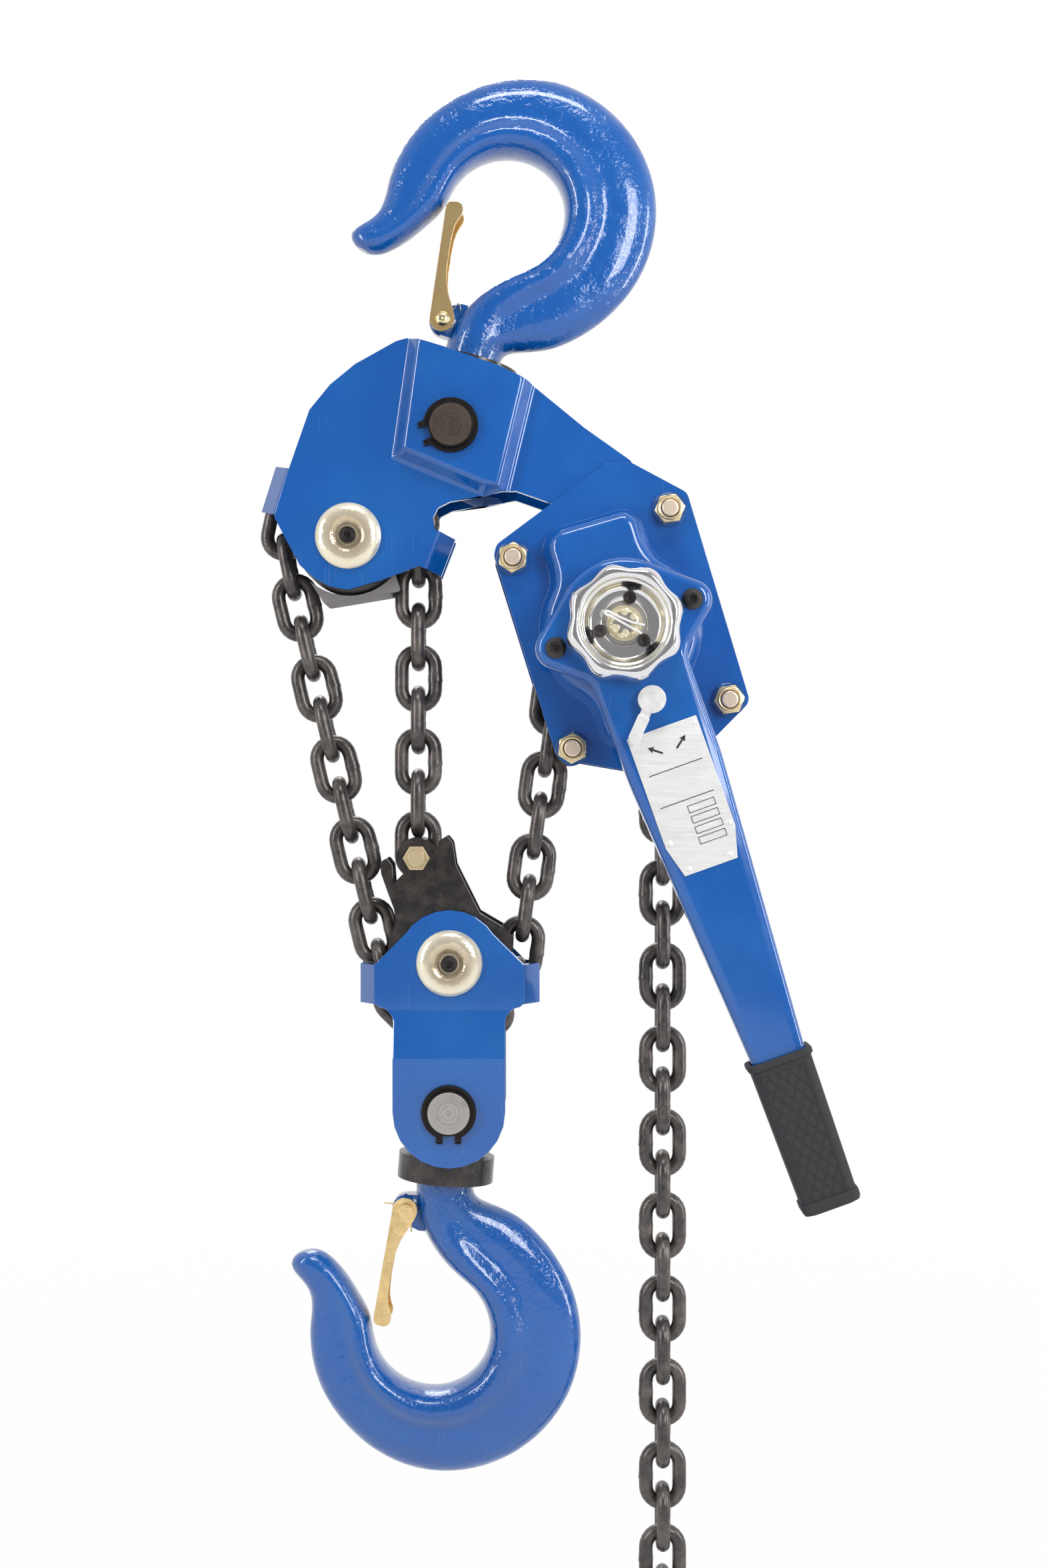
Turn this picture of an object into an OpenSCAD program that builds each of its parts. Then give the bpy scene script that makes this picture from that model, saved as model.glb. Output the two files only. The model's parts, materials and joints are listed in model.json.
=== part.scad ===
// Three-fall ratchet lever hoist, hung from its top hook.
// Origin: centre of the top hook's bowl. +X right, +Z up, front at -Y. Millimetres.

/* [Chain] */
// Wire diameter of the load chain
wire_d = 10; // [9:0.5:11]
// Inside length of a link
link_pitch = 30; // [29:0.5:31]
// Outside width of a link
link_w = 34; // [33:0.5:36]
// Slack left in each link contact
link_play = 0.1; // [0.05:0.05:0.4]
// Links in the slack tail
tail_links = 25; // [6:1:40]

/* [Sheaves] */
// Pairs of links that an idler sheave would take in a full turn
idler_pairs = 5; // [5:0.05:5.2]
// Pockets for flat links on the load sheave
load_pockets = 4; // [4:1:5]
// Side play between a link and the sheave's slot
slot_play = 0.9; // [0.6:0.1:1.5]
// Width of the idler sheaves
idler_w = 35.6; // [35:0.2:37]
// Width of the load sheave
load_sheave_w = 46; // [45:0.5:47]

/* [Hooks] */
// Radius of the bowl
bowl_r = 40.5; // [38:0.5:42]
// From the bowl's centre to the cross pin
hook_reach = 163.3; // [160:0.5:175]
// Shank diameter
shank_d = 39.5; // [36:0.5:42]
// Width of the forging across the bowl
hook_w = 47; // [40:1:52]
// Lean of the top hook, clockwise from the front
top_lean = 14.05; // [10:0.5:16]
// Lean of the load hook, clockwise from the front
low_lean = 4.3; // [0:0.5:8]
// Pivot pin of a safety latch
latch_pin_d = 6; // [5:0.5:8]
// Thickness of a latch's sheet
latch_t = 2.5; // [1.5:0.5:3]
// Width of the lug that carries a latch
latch_lug_w = 14; // [12:1:16]

/* [Hook holders] */
// Diameter of a holder
holder_d = 68.6; // [66:0.2:69]
// From the cross pin to the holder's mouth
holder_reach = 53.5; // [50:0.5:56]
// Cross pin diameter
pin_d = 32; // [28:1:34]
// Swivel nut diameter
nut_d = 44; // [42:1:46]

/* [Frame plates] */
// Gap between the side plates
plate_gap = 48; // [48:0.5:50]
// Side plate thickness
plate_t = 6; // [5:0.5:7]
// How far the hook pockets are pressed outwards
joggle = 11; // [11:0.5:13]
// Stay bolt diameter
stay_d = 12; // [10:1:14]
// Stay bolt spacing across the body
stay_u = 115.4; // [114:0.5:120]
// Stay bolt spacing along the body
stay_w = 140.4; // [139:0.5:144]
// Tilt of the body, counter-clockwise from the front
body_tilt = 17.3; // [12:0.5:20]

/* [Sheave axles] */
// Idler axle diameter
axle_d = 22; // [20:1:24]
// Wall of a needle bearing
bearing_wall = 4; // [3:0.5:5]
// Diameter of the domed axle caps
cap_d = 47; // [44:1:50]

/* [Gear train] */
// Module of the gears
gear_m = 2; // [2:0.05:2.05]
// Teeth of each pinion
pinion_z = 10; // [10:2:12]
// Teeth of each large gear
wheel_z = 32; // [28:4:32]
// Backlash at the pitch circle
backlash = 0.3; // [0.2:0.05:0.5]
// Face width of the load gear
load_gear_w = 15; // [12:1:16]
// Face width of the intermediate gears
mid_gear_w = 10; // [8:1:12]
// Diameter of the pinion shaft
shaft_d = 17; // [15:0.5:18]

/* [Brake] */
// Teeth of the ratchet disc
ratchet_z = 12; // [12:12:24]
// Diameter of the ratchet disc
ratchet_d = 82; // [76:1:84]
// Thickness of the ratchet disc
ratchet_t = 6; // [5:0.5:7]
// Thickness of a friction disc
lining_t = 3; // [2:0.5:3.5]
// Depth of the brake cover's dome
cover_h = 26; // [26:0.5:28]
// Sheet thickness of the covers
cover_t = 3; // [2:0.5:3.5]

/* [Lever] */
// From the hub to the end of the grip
lever_len = 423; // [380:1:450]
// Lean of the lever, counter-clockwise from the front
lever_lean = 19.7; // [10:0.5:25]
// Radius of the housing round the hub
housing_r = 46; // [45:0.5:50]
// From the hub to an ear screw
ear_x = 49.4; // [48:0.5:54]
// Radius of an ear
ear_r = 14; // [12:0.5:16]
// Handle width next to the housing
handle_w = 67; // [60:1:70]
// Handle width at the grip
handle_end_w = 39; // [35:1:39]
// Sheet thickness of the lever shells
lever_t = 3; // [2:0.5:3.5]
// Depth of the lever from back to front
lever_h = 25; // [24:0.5:28]
// Length of the rubber grip
grip_len = 110; // [90:1:120]

/* [Hand wheel] */
// Mean diameter of the hand wheel
wheel_d = 79; // [76:1:90]
// Depth of the hand wheel
wheel_h = 17; // [15:0.5:20]
// Number of finger lobes
wheel_lobes = 8; // [6:1:10]
// Height of a finger lobe
lobe_h = 2.3; // [0.5:0.1:3]

/* [Hidden] */
$fn = 64;

// Colours
blue = "#1f5fc0";
black = "#2b2b2b";
zinc = "#cdbd8a";
steel = "#b9bcc0";
chrome = "#d8dadd";
rubber = "#3a3a3e";
cast = "#8d8a84";

// Running clearances, on the radius
run_play = 0.05;
pin_play = 0.1;
part_gap = 0.4;

// Depths from the middle plane
gap_half = plate_gap / 2;
plate_out = gap_half + plate_t;
pocket_in = gap_half + joggle;
pocket_out = plate_out + joggle;

// Places in the middle plane, as [x, z]
function turn(p, a) = [p[0] * cos(a) + p[1] * sin(a), p[1] * cos(a) - p[0] * sin(a)];
top_pin_at = turn([0, -hook_reach], top_lean);
idler_at = top_pin_at + [-73.1, -76.2];
hub_at = top_pin_at + [119.4, -142.4];
low_axle_at = top_pin_at + [-1.5, -378.3];
pin_drop = 103.6;
low_pin_at = low_axle_at + [0, -pin_drop];
anchor_bolt_d = 12;
anchor_at = low_axle_at + [-23.4, 74.2];

// ---------------------------------------------------------------- helpers
module at(p) {
    translate([p[0], 0, p[1]]) children();
}

// A flat x-z outline filled between two depths
module slab(y0, y1) {
    translate([0, max(y0, y1), 0]) rotate([90, 0, 0]) linear_extrude(abs(y1 - y0)) children();
}

module rod(d, y0, y1) {
    slab(y0, y1) circle(d = d);
}

module tube(d_out, d_in, y0, y1) {
    slab(y0, y1) difference() {
        circle(d = d_out);
        circle(d = d_in);
    }
}

// A revolved profile of [radius, depth] points about the Y axis
module turned(points) {
    rotate([90, 0, 0]) mirror([0, 0, 1]) rotate_extrude() polygon(points);
}

// Both sides of the middle plane
module front_and_rear() {
    children();
    mirror([0, 1, 0]) children();
}

module rounded(r) {
    offset(r = r, $fn = 24) offset(delta = -r) children();
}

module filleted(r) {
    offset(r = -r, $fn = 24) offset(delta = r) children();
}

module top_frame() {
    at(top_pin_at) rotate([0, top_lean, 0]) mirror([0, 0, 1]) children();
}

module low_frame() {
    at(low_pin_at) rotate([0, low_lean, 0]) children();
}

module body_frame() {
    at(hub_at) rotate([0, -body_tilt, 0]) children();
}

module lever_frame() {
    at(hub_at) rotate([0, -lever_lean, 0]) children();
}

// ---------------------------------------------------------------- chain route
// Every second link lies flat on the wheels. The route's stops are the wire centres of the
// flat links' ends, which sit inside the ends of the upright links.
flat_chord = link_pitch + wire_d;
upright_chord = link_pitch - wire_d - 2 * link_play;
function chord(i) = i % 2 == 1 ? flat_chord : upright_chord;
// Radius of the stops on a wheel that takes this many pairs of links in a turn
function wheel_r(pairs) =
    let(f = flat_chord / 2, u = upright_chord / 2)
    sqrt(f * f + u * u + 2 * f * u * cos(180 / pairs)) / sin(180 / pairs);
// Distance from a wheel's centre to the middle of a link whose ends lie on radius r
function mid_r(r, link_chord) = sqrt(r * r - link_chord * link_chord / 4);
idler_r = wheel_r(idler_pairs);
load_r = wheel_r(load_pockets);
route_start = anchor_at - [0, (anchor_bolt_d - wire_d) / 2];

function angle_of(v) = atan2(v[1], v[0]);
function heading(a) = [cos(a), sin(a)];
function left_of(a) = [-sin(a), cos(a)];
// Heading of the line that leaves circle a and meets circle b; radii are signed, + for
// a chain that turns counter-clockwise
function tangent(a, ra, b, rb) = angle_of(b - a) - asin((rb - ra) / norm(b - a));

centre_dir = tangent(route_start, 0, idler_at, idler_r);
left_dir = tangent(idler_at, idler_r, low_axle_at, idler_r);
right_dir = tangent(low_axle_at, idler_r, hub_at, -load_r);
tail_dir = -97.4;
tail_lean_len = 58;
corners = [
    [route_start, idler_at - idler_r * left_of(centre_dir), centre_dir],
    [idler_at - idler_r * left_of(left_dir), low_axle_at - idler_r * left_of(left_dir), left_dir],
    [low_axle_at - idler_r * left_of(right_dir), hub_at + load_r * left_of(right_dir), right_dir],
    [
        hub_at + load_r * left_of(tail_dir),
        hub_at + load_r * left_of(tail_dir) + tail_lean_len * heading(tail_dir), tail_dir
    ]
];
// Stretches of the route as [length, straight?, start point or wheel centre, heading, signed radius]
route = [
    [norm(corners[0][1] - corners[0][0]), true, corners[0][0], centre_dir, 0],
    [(left_dir + 360 - centre_dir) * PI / 180 * idler_r, false, idler_at, centre_dir, idler_r],
    [norm(corners[1][1] - corners[1][0]), true, corners[1][0], left_dir, 0],
    [(right_dir - left_dir) * PI / 180 * idler_r, false, low_axle_at, left_dir, idler_r],
    [norm(corners[2][1] - corners[2][0]), true, corners[2][0], right_dir, 0],
    [(right_dir - tail_dir) * PI / 180 * load_r, false, hub_at, right_dir, -load_r],
    [tail_lean_len, true, corners[3][0], tail_dir, 0],
    [1e5, true, corners[3][1], -90, 0]
];
function stretch_point(k, t) =
    let(piece = route[k])
    piece[1]
        ? piece[2] + t * heading(piece[3])
        : let(turned_by = t / abs(piece[4]) * 180 / PI * sign(piece[4]))
            piece[2] - piece[4] * left_of(piece[3] + turned_by);
function route_point(s, k = 0) =
    s <= route[k][0] ? stretch_point(k, s) : route_point(s - route[k][0], k + 1);
function route_piece(s, k = 0) = s <= route[k][0] ? k : route_piece(s - route[k][0], k + 1);
// Distance along the route whose point is link i's length further on
function next_stop(s, i, guess, tries = 6) =
    tries == 0
        ? guess
        : next_stop(s, i, guess + chord(i) - norm(route_point(guess) - route_point(s)), tries - 1);
function stops(s, i, last) =
    i > last ? [s] : concat([s], stops(next_stop(s, i, s + chord(i)), i + 1, last));

function length_to(k) = k == 0 ? 0 : route[k - 1][0] + length_to(k - 1);
tail_from = length_to(6);
links_to_tail = ceil(tail_from / (flat_chord + upright_chord) * 2) + 2;
all_stops = stops(0, 0, links_to_tail + tail_links);
pitch_points = [for (s = all_stops) route_point(s)];
// Stretch that holds the middle of each link
link_piece = [
    for (i = [0 : len(all_stops) - 2]) route_piece((all_stops[i] + all_stops[i + 1]) / 2)
];
tail_first = [for (i = [0 : len(all_stops) - 1]) if (all_stops[i] > tail_from) i][0] + 1;
chain_links = tail_first + tail_links;
// Angle of a flat link seated on the load sheave
seated = [for (i = [1 : 2 : tail_first]) if (all_stops[i] > length_to(5)) i][0];
load_phase = angle_of((pitch_points[seated] + pitch_points[seated + 1]) / 2 - hub_at);

module link() {
    crown_r = (link_w - wire_d) / 2;
    straight = link_pitch / 2 + wire_d / 2 - crown_r;
    for (s = [-1, 1]) {
        translate([0, 0, s * crown_r]) rotate([0, 90, 0])
            cylinder(d = wire_d, h = 2 * straight, center = true, $fn = 32);
        translate([s * straight, 0, 0]) rotate([90, 0, 0]) rotate([0, 0, s * 90 - 180])
            rotate_extrude(angle = 180, $fn = 32) translate([crown_r, 0]) circle(d = wire_d, $fn = 32);
    }
}

module placed_link(i) {
    run = pitch_points[i + 1] - pitch_points[i];
    at((pitch_points[i] + pitch_points[i + 1]) / 2) rotate([0, -angle_of(run), 0])
        rotate([i % 2 * 90, 0, 0]) link();
}

// First link that the pockets of the load sheave reach
load_first = [for (i = [0 : tail_first - 1]) if (link_piece[i] == 5) i][0] - 1;

module chain_falls() {
    color(black)
        for (i = [0 : load_first - 1]) if (link_piece[i] % 2 == 0) placed_link(i);
}

// The links on the two idlers
module chain_wraps() {
    color(black)
        for (i = [0 : load_first - 1]) if (link_piece[i] % 2 == 1) placed_link(i);
}

// The links that run through the load sheave's pockets
module load_wrap() {
    color(black)
        for (i = [load_first : tail_first - 1]) placed_link(i);
}

module chain_tail() {
    color(black)
        for (i = [tail_first : chain_links - 1]) placed_link(i);
}

end_ring_r = 22;
end_ring_wire = 8;
module chain_end_ring() {
    last = chain_links - 1;
    last_mid = (pitch_points[last] + pitch_points[chain_links]) / 2;
    hang = last_mid - [0, link_pitch / 2 - end_ring_wire / 2 - link_play + end_ring_r];
    color(zinc)
        at(hang) rotate([0, 0, last % 2 == 1 ? 0 : 90]) rotate([90, 0, 0])
            rotate_extrude() translate([end_ring_r, 0]) circle(d = end_ring_wire, $fn = 24);
}

// ---------------------------------------------------------------- hooks
// Half section of the forging: share of its depth from the bowl outwards, share of its half width
hook_half = [
    [0, 0], [0.02, 0.5], [0.08, 0.82], [0.18, 0.98], [0.29, 0.98],
    [0.38, 0.86], [0.48, 0.79], [0.68, 0.76], [0.86, 0.68], [0.96, 0.45], [1, 0]
];
function round_half(k) = [(1 - cos(18 * k)) / 2, sin(18 * k)];
function half_point(k, roundness) =
    hook_half[k] * (1 - roundness) + round_half(k) * roundness;
section_steps = concat([for (k = [0 : 10]) [k, 1]], [for (k = [9 : -1 : 1]) [k, -1]]);

function bowl_in(a) =
    lookup(a, [[-172, 43.2], [-150, 42], [-120, 41], [-90, bowl_r], [30, bowl_r], [66, 43]]);
function bowl_out(a) =
    lookup(a, [
        [-176, 89.5], [-150, 91.3], [-130, 92.6], [-110, 96.5], [-90, 101], [-70, 104],
        [-50, 106.5], [-30, 108.2], [-10, 108], [10, 106.5], [30, 104], [50, 102.8]
    ]);
bowl_steps = 19;
// Ribs of the forging as [inner point, outer point, width, roundness], from the shank to the tip
neck_r = shank_d / 2 + 0.8;
neck_top = hook_reach - holder_reach - 1.6;
hook_ribs = concat(
    [
        [[-neck_r, neck_top], [neck_r, neck_top], 2 * neck_r, 1],
        [[-neck_r, 99], [neck_r + 1, 100], 2 * neck_r + 1, 1],
        [[-18.5, 86], [27, 96], 44, 0.8],
        [[-13, 72], [36, 93.5], 45, 0.5],
        [[-4, 58.5], [45, 90.5], 46, 0.25],
        [[7, 47], [54, 87], hook_w, 0.1]
    ],
    [
        for (i = [0 : bowl_steps - 1])
            let(
                a_in = 66 - 238 * i / (bowl_steps - 1),
                a_out = 50 - 226 * i / (bowl_steps - 1)
            )
            [
                bowl_in(a_in) * heading(a_in), bowl_out(a_out) * heading(a_out),
                lookup(a_in, [[-172, hook_w - 7], [-110, hook_w], [66, hook_w]]), 0
            ]
    ],
    [
        [[-45.5, 5], [-88.7, 5], 38, 0.2],
        [[-50.5, 13], [-89, 13], 36, 0.3],
        [[-57, 21.5], [-90.5, 20], 34, 0.4],
        [[-65, 30], [-95, 27], 31, 0.5],
        [[-73.5, 37.5], [-101, 34], 27, 0.6],
        [[-82, 43.5], [-103, 40.5], 23, 0.8],
        [[-88, 48.5], [-99.5, 46.5], 14, 1]
    ]
);
function rib_point(rib, step) =
    let(
        h = half_point(step[0], rib[3]),
        p = rib[0] + (rib[1] - rib[0]) * h[0]
    )
    [p[0], step[1] * h[1] * rib[2] / 2, p[1]];

// A skin over rings of points, with flat ends
module skin(rings) {
    n = len(rings[0]);
    m = len(rings);
    points = [for (r = rings) for (p = r) p];
    sides = [
        for (j = [0 : m - 2]) for (i = [0 : n - 1])
            let(a = j * n + i, b = j * n + (i + 1) % n)
            for (face = [[a, a + n, b], [b, a + n, b + n]]) face
    ];
    caps = [[for (i = [0 : n - 1]) i], [for (i = [n - 1 : -1 : 0]) (m - 1) * n + i]];
    polyhedron(points, concat(sides, caps), convexity = 6);
}

// Closed outline from its right half, given as arcs of [centre, radius, first normal, last
// normal, steps], and moved inwards by an inset; a hollow arc has a negative radius
function arc_ring(arcs, inset) =
    let(right = [
        for (arc = arcs) for (k = [0 : arc[4]])
            arc[0] + (arc[1] - inset) * heading(arc[2] + (arc[3] - arc[2]) * k / arc[4])
    ])
    concat(
        [for (i = [1 : len(right) - 1]) right[i]],
        [for (i = [len(right) - 1 : -1 : 0]) [-right[i][0], right[i][1]]]
    );

latch_at = [-26, 87];
latch_lug_r = 10;
nut_from = 17;
nut_h = 15;
washer_h = 3.5;
holder_floor = nut_from + nut_h + washer_h;
thread_d = 30;

// Origin at the cross pin, the bowl below it
module hook_forging() {
    translate([0, 0, -hook_reach]) {
        skin([for (rib = hook_ribs) [for (step = section_steps) rib_point(rib, step)]]);
        difference() {
            union() {
                at(latch_at) rod(2 * latch_lug_r, -latch_lug_w / 2, latch_lug_w / 2);
                slab(-latch_lug_w / 2, latch_lug_w / 2)
                    polygon([[-26, 97], [-12, 98], [-8, 72], [-16, 74], [-29, 77.5]]);
            }
            at(latch_at) rod(latch_pin_d + 2 * run_play, -latch_lug_w, latch_lug_w);
        }
    }
    // Shank, then the threaded end inside the holder
    translate([0, 0, -hook_reach + neck_top - 1])
        cylinder(d = shank_d, h = hook_reach - neck_top + 1 - holder_floor);
    translate([0, 0, -holder_floor]) cylinder(d = thread_d, h = holder_floor - nut_from + 1);
}

module top_hook() {
    color(blue) top_frame() hook_forging();
}

module lower_hook() {
    color(blue) low_frame() hook_forging();
}

module swivel_nut() {
    translate([0, 0, -nut_from - nut_h]) difference() {
        cylinder(d = nut_d, h = nut_h);
        translate([0, 0, -1]) cylinder(d = thread_d + 2 * run_play, h = nut_h + 2);
        // Cross slots for the locking pin
        translate([0, 0, nut_h - 2]) cube([nut_d + 2, 5, 6], center = true);
    }
}

module thrust_washer() {
    translate([0, 0, -holder_floor + run_play]) difference() {
        cylinder(d = nut_d, h = washer_h - 2 * run_play);
        translate([0, 0, -1]) cylinder(d = thread_d + 2 * run_play, h = washer_h + 2);
    }
}

module top_swivel_nut() {
    color(steel) top_frame() {
        swivel_nut();
        thrust_washer();
    }
}

module lower_swivel_nut() {
    color(steel) low_frame() {
        swivel_nut();
        thrust_washer();
    }
}

holder_flat = pocket_in - part_gap;
module holder() {
    difference() {
        intersection() {
            union() {
                translate([0, 0, -holder_reach]) cylinder(d = holder_d, h = holder_reach);
                sphere(d = holder_d, $fn = 64);
            }
            cube([holder_d + 2, 2 * holder_flat, 4 * holder_reach], center = true);
        }
        // Shank bore, nut window and cross bore
        translate([0, 0, -holder_reach - 1])
            cylinder(d = shank_d + 0.6, h = holder_reach - holder_floor + 1.1);
        translate([-holder_d, -nut_d / 2 - 0.8, -holder_floor - 0.05])
            cube([2 * holder_d, nut_d + 1.6, holder_floor - nut_from + 1.2]);
        rod(pin_d + 2 * pin_play, -holder_d, holder_d);
    }
}

module top_holder() {
    color(black) top_frame() holder();
}

module lower_holder() {
    color(black) low_frame() holder();
}

pin_head_d = 42;
pin_head_t = 5;
clip_t = 2.5;
clip_d = 38.5;
pin_nose = 3.5;
clip_turn = 72;
module cross_pin() {
    difference() {
        union() {
            rod(pin_d, -pocket_out - clip_t - pin_nose, pocket_out + run_play);
            rod(pin_head_d, pocket_out + run_play, pocket_out + pin_head_t);
        }
        tube(pin_d + 4, pin_d - 4, -pocket_out - clip_t - 0.5, -pocket_out - 0.1);
    }
}

// Retaining ring whose gap and lugs point down
module circlip() {
    difference() {
        union() {
            slab(-pocket_out - clip_t - 0.3, -pocket_out - 0.3) difference() {
                circle(d = clip_d);
                circle(d = pin_d - 3.6);
                translate([-4.6, -clip_d]) square([9.2, clip_d]);
            }
            for (s = [-1, 1])
                slab(-pocket_out - clip_t - 0.3, -pocket_out - 0.3)
                    translate([s * 6.6 - 2.2, -clip_d / 2 - 2.6]) square([4.4, 5.4]);
        }
        for (s = [-1, 1])
            translate([s * 6.6, 0, -clip_d / 2 - 0.8]) rod(1.8, -2 * pocket_out, 0, $fn = 16);
    }
}

module top_pin() {
    color(steel) at(top_pin_at) {
        cross_pin();
        rotate([0, clip_turn, 0]) circlip();
    }
}

module lower_pin() {
    color(steel) at(low_pin_at) {
        cross_pin();
        circlip();
    }
}

// Safety latch: a folded sheet with two cheeks round the lug, as offsets from its pin
cheek_in = latch_lug_w / 2 + 4.8;
latch_w = 2 * (cheek_in + latch_t);
latch_turn = 5.65;
latch_edge = -9.5;
latch_reach = 85;
module latch_side() {
    at_2d(latch_at) rotate(-latch_turn) polygon([
        [latch_edge, 2], [-7.5, 6], [-4, 8.2], [1, 8.8], [5, 7], [7.5, 4], [8.3, 0],
        [7.4, -4.4], [5, -10.5], [2.4, -16], [0, -22], [-1.5, -29], [-2.4, -37], [-2.6, -51],
        [-2, -62], [-1, -68], [0.8, -72.5], [2.6, -76], [3, -79.5], [1.6, -83],
        [-2, 0.6 - latch_reach], [-7.5, 1.4 - latch_reach], [latch_edge, 4.4 - latch_reach]
    ]);
}

module latch_back() {
    inner = latch_edge + latch_t;
    at_2d(latch_at) rotate(-latch_turn) polygon([
        [latch_edge, -14], [inner, -14], [inner, 8 - latch_reach], [-1, 4 - latch_reach], [1.6, -82.9],
        [-2, 0.7 - latch_reach], [-7.5, 1.5 - latch_reach], [latch_edge, 4.5 - latch_reach]
    ]);
}

module latch() {
    translate([0, 0, -hook_reach]) difference() {
        union() {
            front_and_rear() slab(cheek_in, cheek_in + latch_t) latch_side();
            slab(-cheek_in - 0.1, cheek_in + 0.1) latch_back();
        }
        at(latch_at) rod(latch_pin_d + 2 * pin_play, -latch_w, latch_w);
    }
}

module latch_pin() {
    at(latch_at + [0, -hook_reach]) {
        rod(latch_pin_d, -latch_w / 2 - 1, latch_w / 2 + 1);
        front_and_rear() rod(latch_pin_d + 4, latch_w / 2 + 0.2, latch_w / 2 + 2);
    }
}

module top_latch() {
    color(zinc) top_frame() latch();
}

module lower_latch() {
    color(zinc) low_frame() latch();
}

module top_latch_pin() {
    color(zinc) top_frame() latch_pin();
}

// Torsion spring beside the lug, on the latch pin
spring_wire = 1;
spring_r = latch_pin_d / 2 + 0.4 + spring_wire / 2;
spring_turns = 2;
spring_rings = 8;
spring_pitch = spring_wire + 0.45;
spring_leg = 16;
spring_path = concat(
    [[-spring_leg, 0, spring_r]],
    [
        for (i = [0 : spring_turns * spring_rings + 2])
            let(a = 360 * i / spring_rings)
            [spring_r * sin(a), spring_pitch * i / spring_rings, spring_r * cos(a)]
    ],
    [[spring_r + 1, spring_pitch * (spring_turns + 2 / spring_rings), -spring_leg]]
);
spring_gaps = [
    for (i = [1 : len(spring_path) - 1 - spring_rings])
        norm(spring_path[i] - spring_path[i + spring_rings]) - spring_wire
];
echo(least_spring_gap = min(spring_gaps));

function unit(v) = v / norm(v);
// Hexagonal rings square to a path
module wire(path, d) {
    n = len(path);
    skin([
        for (i = [0 : n - 1])
            let(
                along = unit(path[min(i + 1, n - 1)] - path[max(i - 1, 0)]),
                side = unit(cross(along, abs(along[1]) < 0.9 ? [0, 1, 0] : [1, 0, 0])),
                up = cross(side, along)
            )
            [for (k = [0 : 5]) path[i] + d / 2 * (cos(60 * k) * side - sin(60 * k) * up)]
    ]);
}

module latch_spring() {
    at(latch_at + [0, -hook_reach]) translate([0, -cheek_in + 0.15 + spring_wire / 2, 0])
        wire(spring_path, spring_wire);
}

module top_latch_spring() {
    color(steel) top_frame() latch_spring();
}

module lower_latch_spring() {
    color(steel) low_frame() {
        latch_spring();
        latch_pin();
    }
}

// ---------------------------------------------------------------- yoke plates
// Outline round the top pin and the idler, as offsets from the top pin
module yoke_arm() {
    at_2d(top_pin_at) rounded(2.5) polygon([
        [-31.5, 63.4], [-6.6, 55.9], [32.9, 42.3], [55.3, 31.6], [93.9, 0], [126.4, -23],
        [150, -60], [150, -110], [100, -110], [84, -62], [69.9, -53.1], [45.5, -44.6],
        [35.6, -45.6], [-1.1, -52.2], [-9.5, -56.5], [-13.2, -64], [-11, -73.8],
        [-20.9, -96.8], [-50, -107.7], [-73.1, -114.3], [-86, -112], [-96.6, -106.5],
        [-107.4, -96.8], [-125.3, -63], [-114.5, -27.7], [-100.4, 12.7], [-85.8, 30.6],
        [-67.9, 45.2], [-39.2, 61.2]
    ]);
}

module at_2d(p) {
    translate(p) children();
}

// Outline of the hoist body, round the hub
module body_outline(inset = 0) {
    offset(delta = -inset) rounded(8) polygon([
        [-70, -74], [-5, -107], [14, -107], [44, -91], [72, -76], [73.5, 78], [42, 110],
        [25, 115], [-66, 83], [-70, 76]
    ]);
}

// Pocket pressed outwards for the holder, as offsets from the top pin
pocket_outline = [[-24, 95], [-39.6, -19.8], [21.2, -45.5], [37.5, -47.9], [72, 95]];
pocket_slope = 6;
module pocket(depth) {
    low = gap_half - 1;
    hull() {
        at(top_pin_at) slab(depth - 0.01, depth) offset(delta = -pocket_slope) polygon(pocket_outline);
        at(top_pin_at) slab(low, low + 0.01)
            offset(delta = pocket_slope) polygon(pocket_outline);
    }
}

// Lips that flare past the chain: out to one side and in towards the middle
flare_run = 12;
flare_in = 16;
module flare(length, side) {
    mirror([side < 0 ? 1 : 0, 0, 0]) translate([0, 0, -length / 2]) linear_extrude(length)
        polygon([
            [-8, -plate_out], [1, -plate_out], [flare_run, -plate_out + flare_in],
            [flare_run, -plate_out + flare_in + 5], [flare_run - 4, -plate_out + flare_in + 5],
            [-3, -plate_out + plate_t], [-8, -plate_out + plate_t]
        ]);
}

bearing_d = 56;
module yoke_plate() {
    difference() {
        union() {
            intersection() {
                slab(gap_half - 0.5, pocket_out + 1) {
                    yoke_arm();
                    at_2d(hub_at) rotate(body_tilt) body_outline(1.5);
                }
                difference() {
                    union() {
                        at(idler_at) translate([-200, gap_half, -300]) cube([600, plate_t, 600]);
                        pocket(pocket_out);
                    }
                    pocket(pocket_in);
                }
            }
            at(top_pin_at + [-119.5, -45]) rotate([0, 17.5, 0]) mirror([0, 1, 0]) flare(34, -1);
            at(top_pin_at + [-14, -86]) rotate([0, 21, 0]) mirror([0, 1, 0]) flare(28, 1);
        }
        at(top_pin_at) rod(pin_d + 2 * pin_play, 0, 2 * pocket_out);
        at(idler_at) rod(axle_d + 2 * run_play, 0, 2 * plate_out);
        body_frame() {
            rod(bearing_d + 2 * run_play, 0, 2 * plate_out);
            for (u = [-1, 1], w = [-1, 1])
                translate([u * stay_u / 2, 0, w * stay_w / 2])
                    rod(stay_d + 2 * pin_play, 0, 2 * plate_out);
        }
    }
}

module front_yoke_plate() {
    color(blue) mirror([0, 1, 0]) yoke_plate();
}

module rear_yoke_plate() {
    color(blue) yoke_plate();
}

stay_collar_d = 18;
nut_af = 19;
body_nut_h = 10;
washer_t = 1.6;
nut_seat = plate_out + cover_t + washer_t;
module each_stay() {
    body_frame()
        for (u = [-1, 1], w = [-1, 1])
            translate([u * stay_u / 2, 0, w * stay_w / 2]) children();
}

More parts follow.
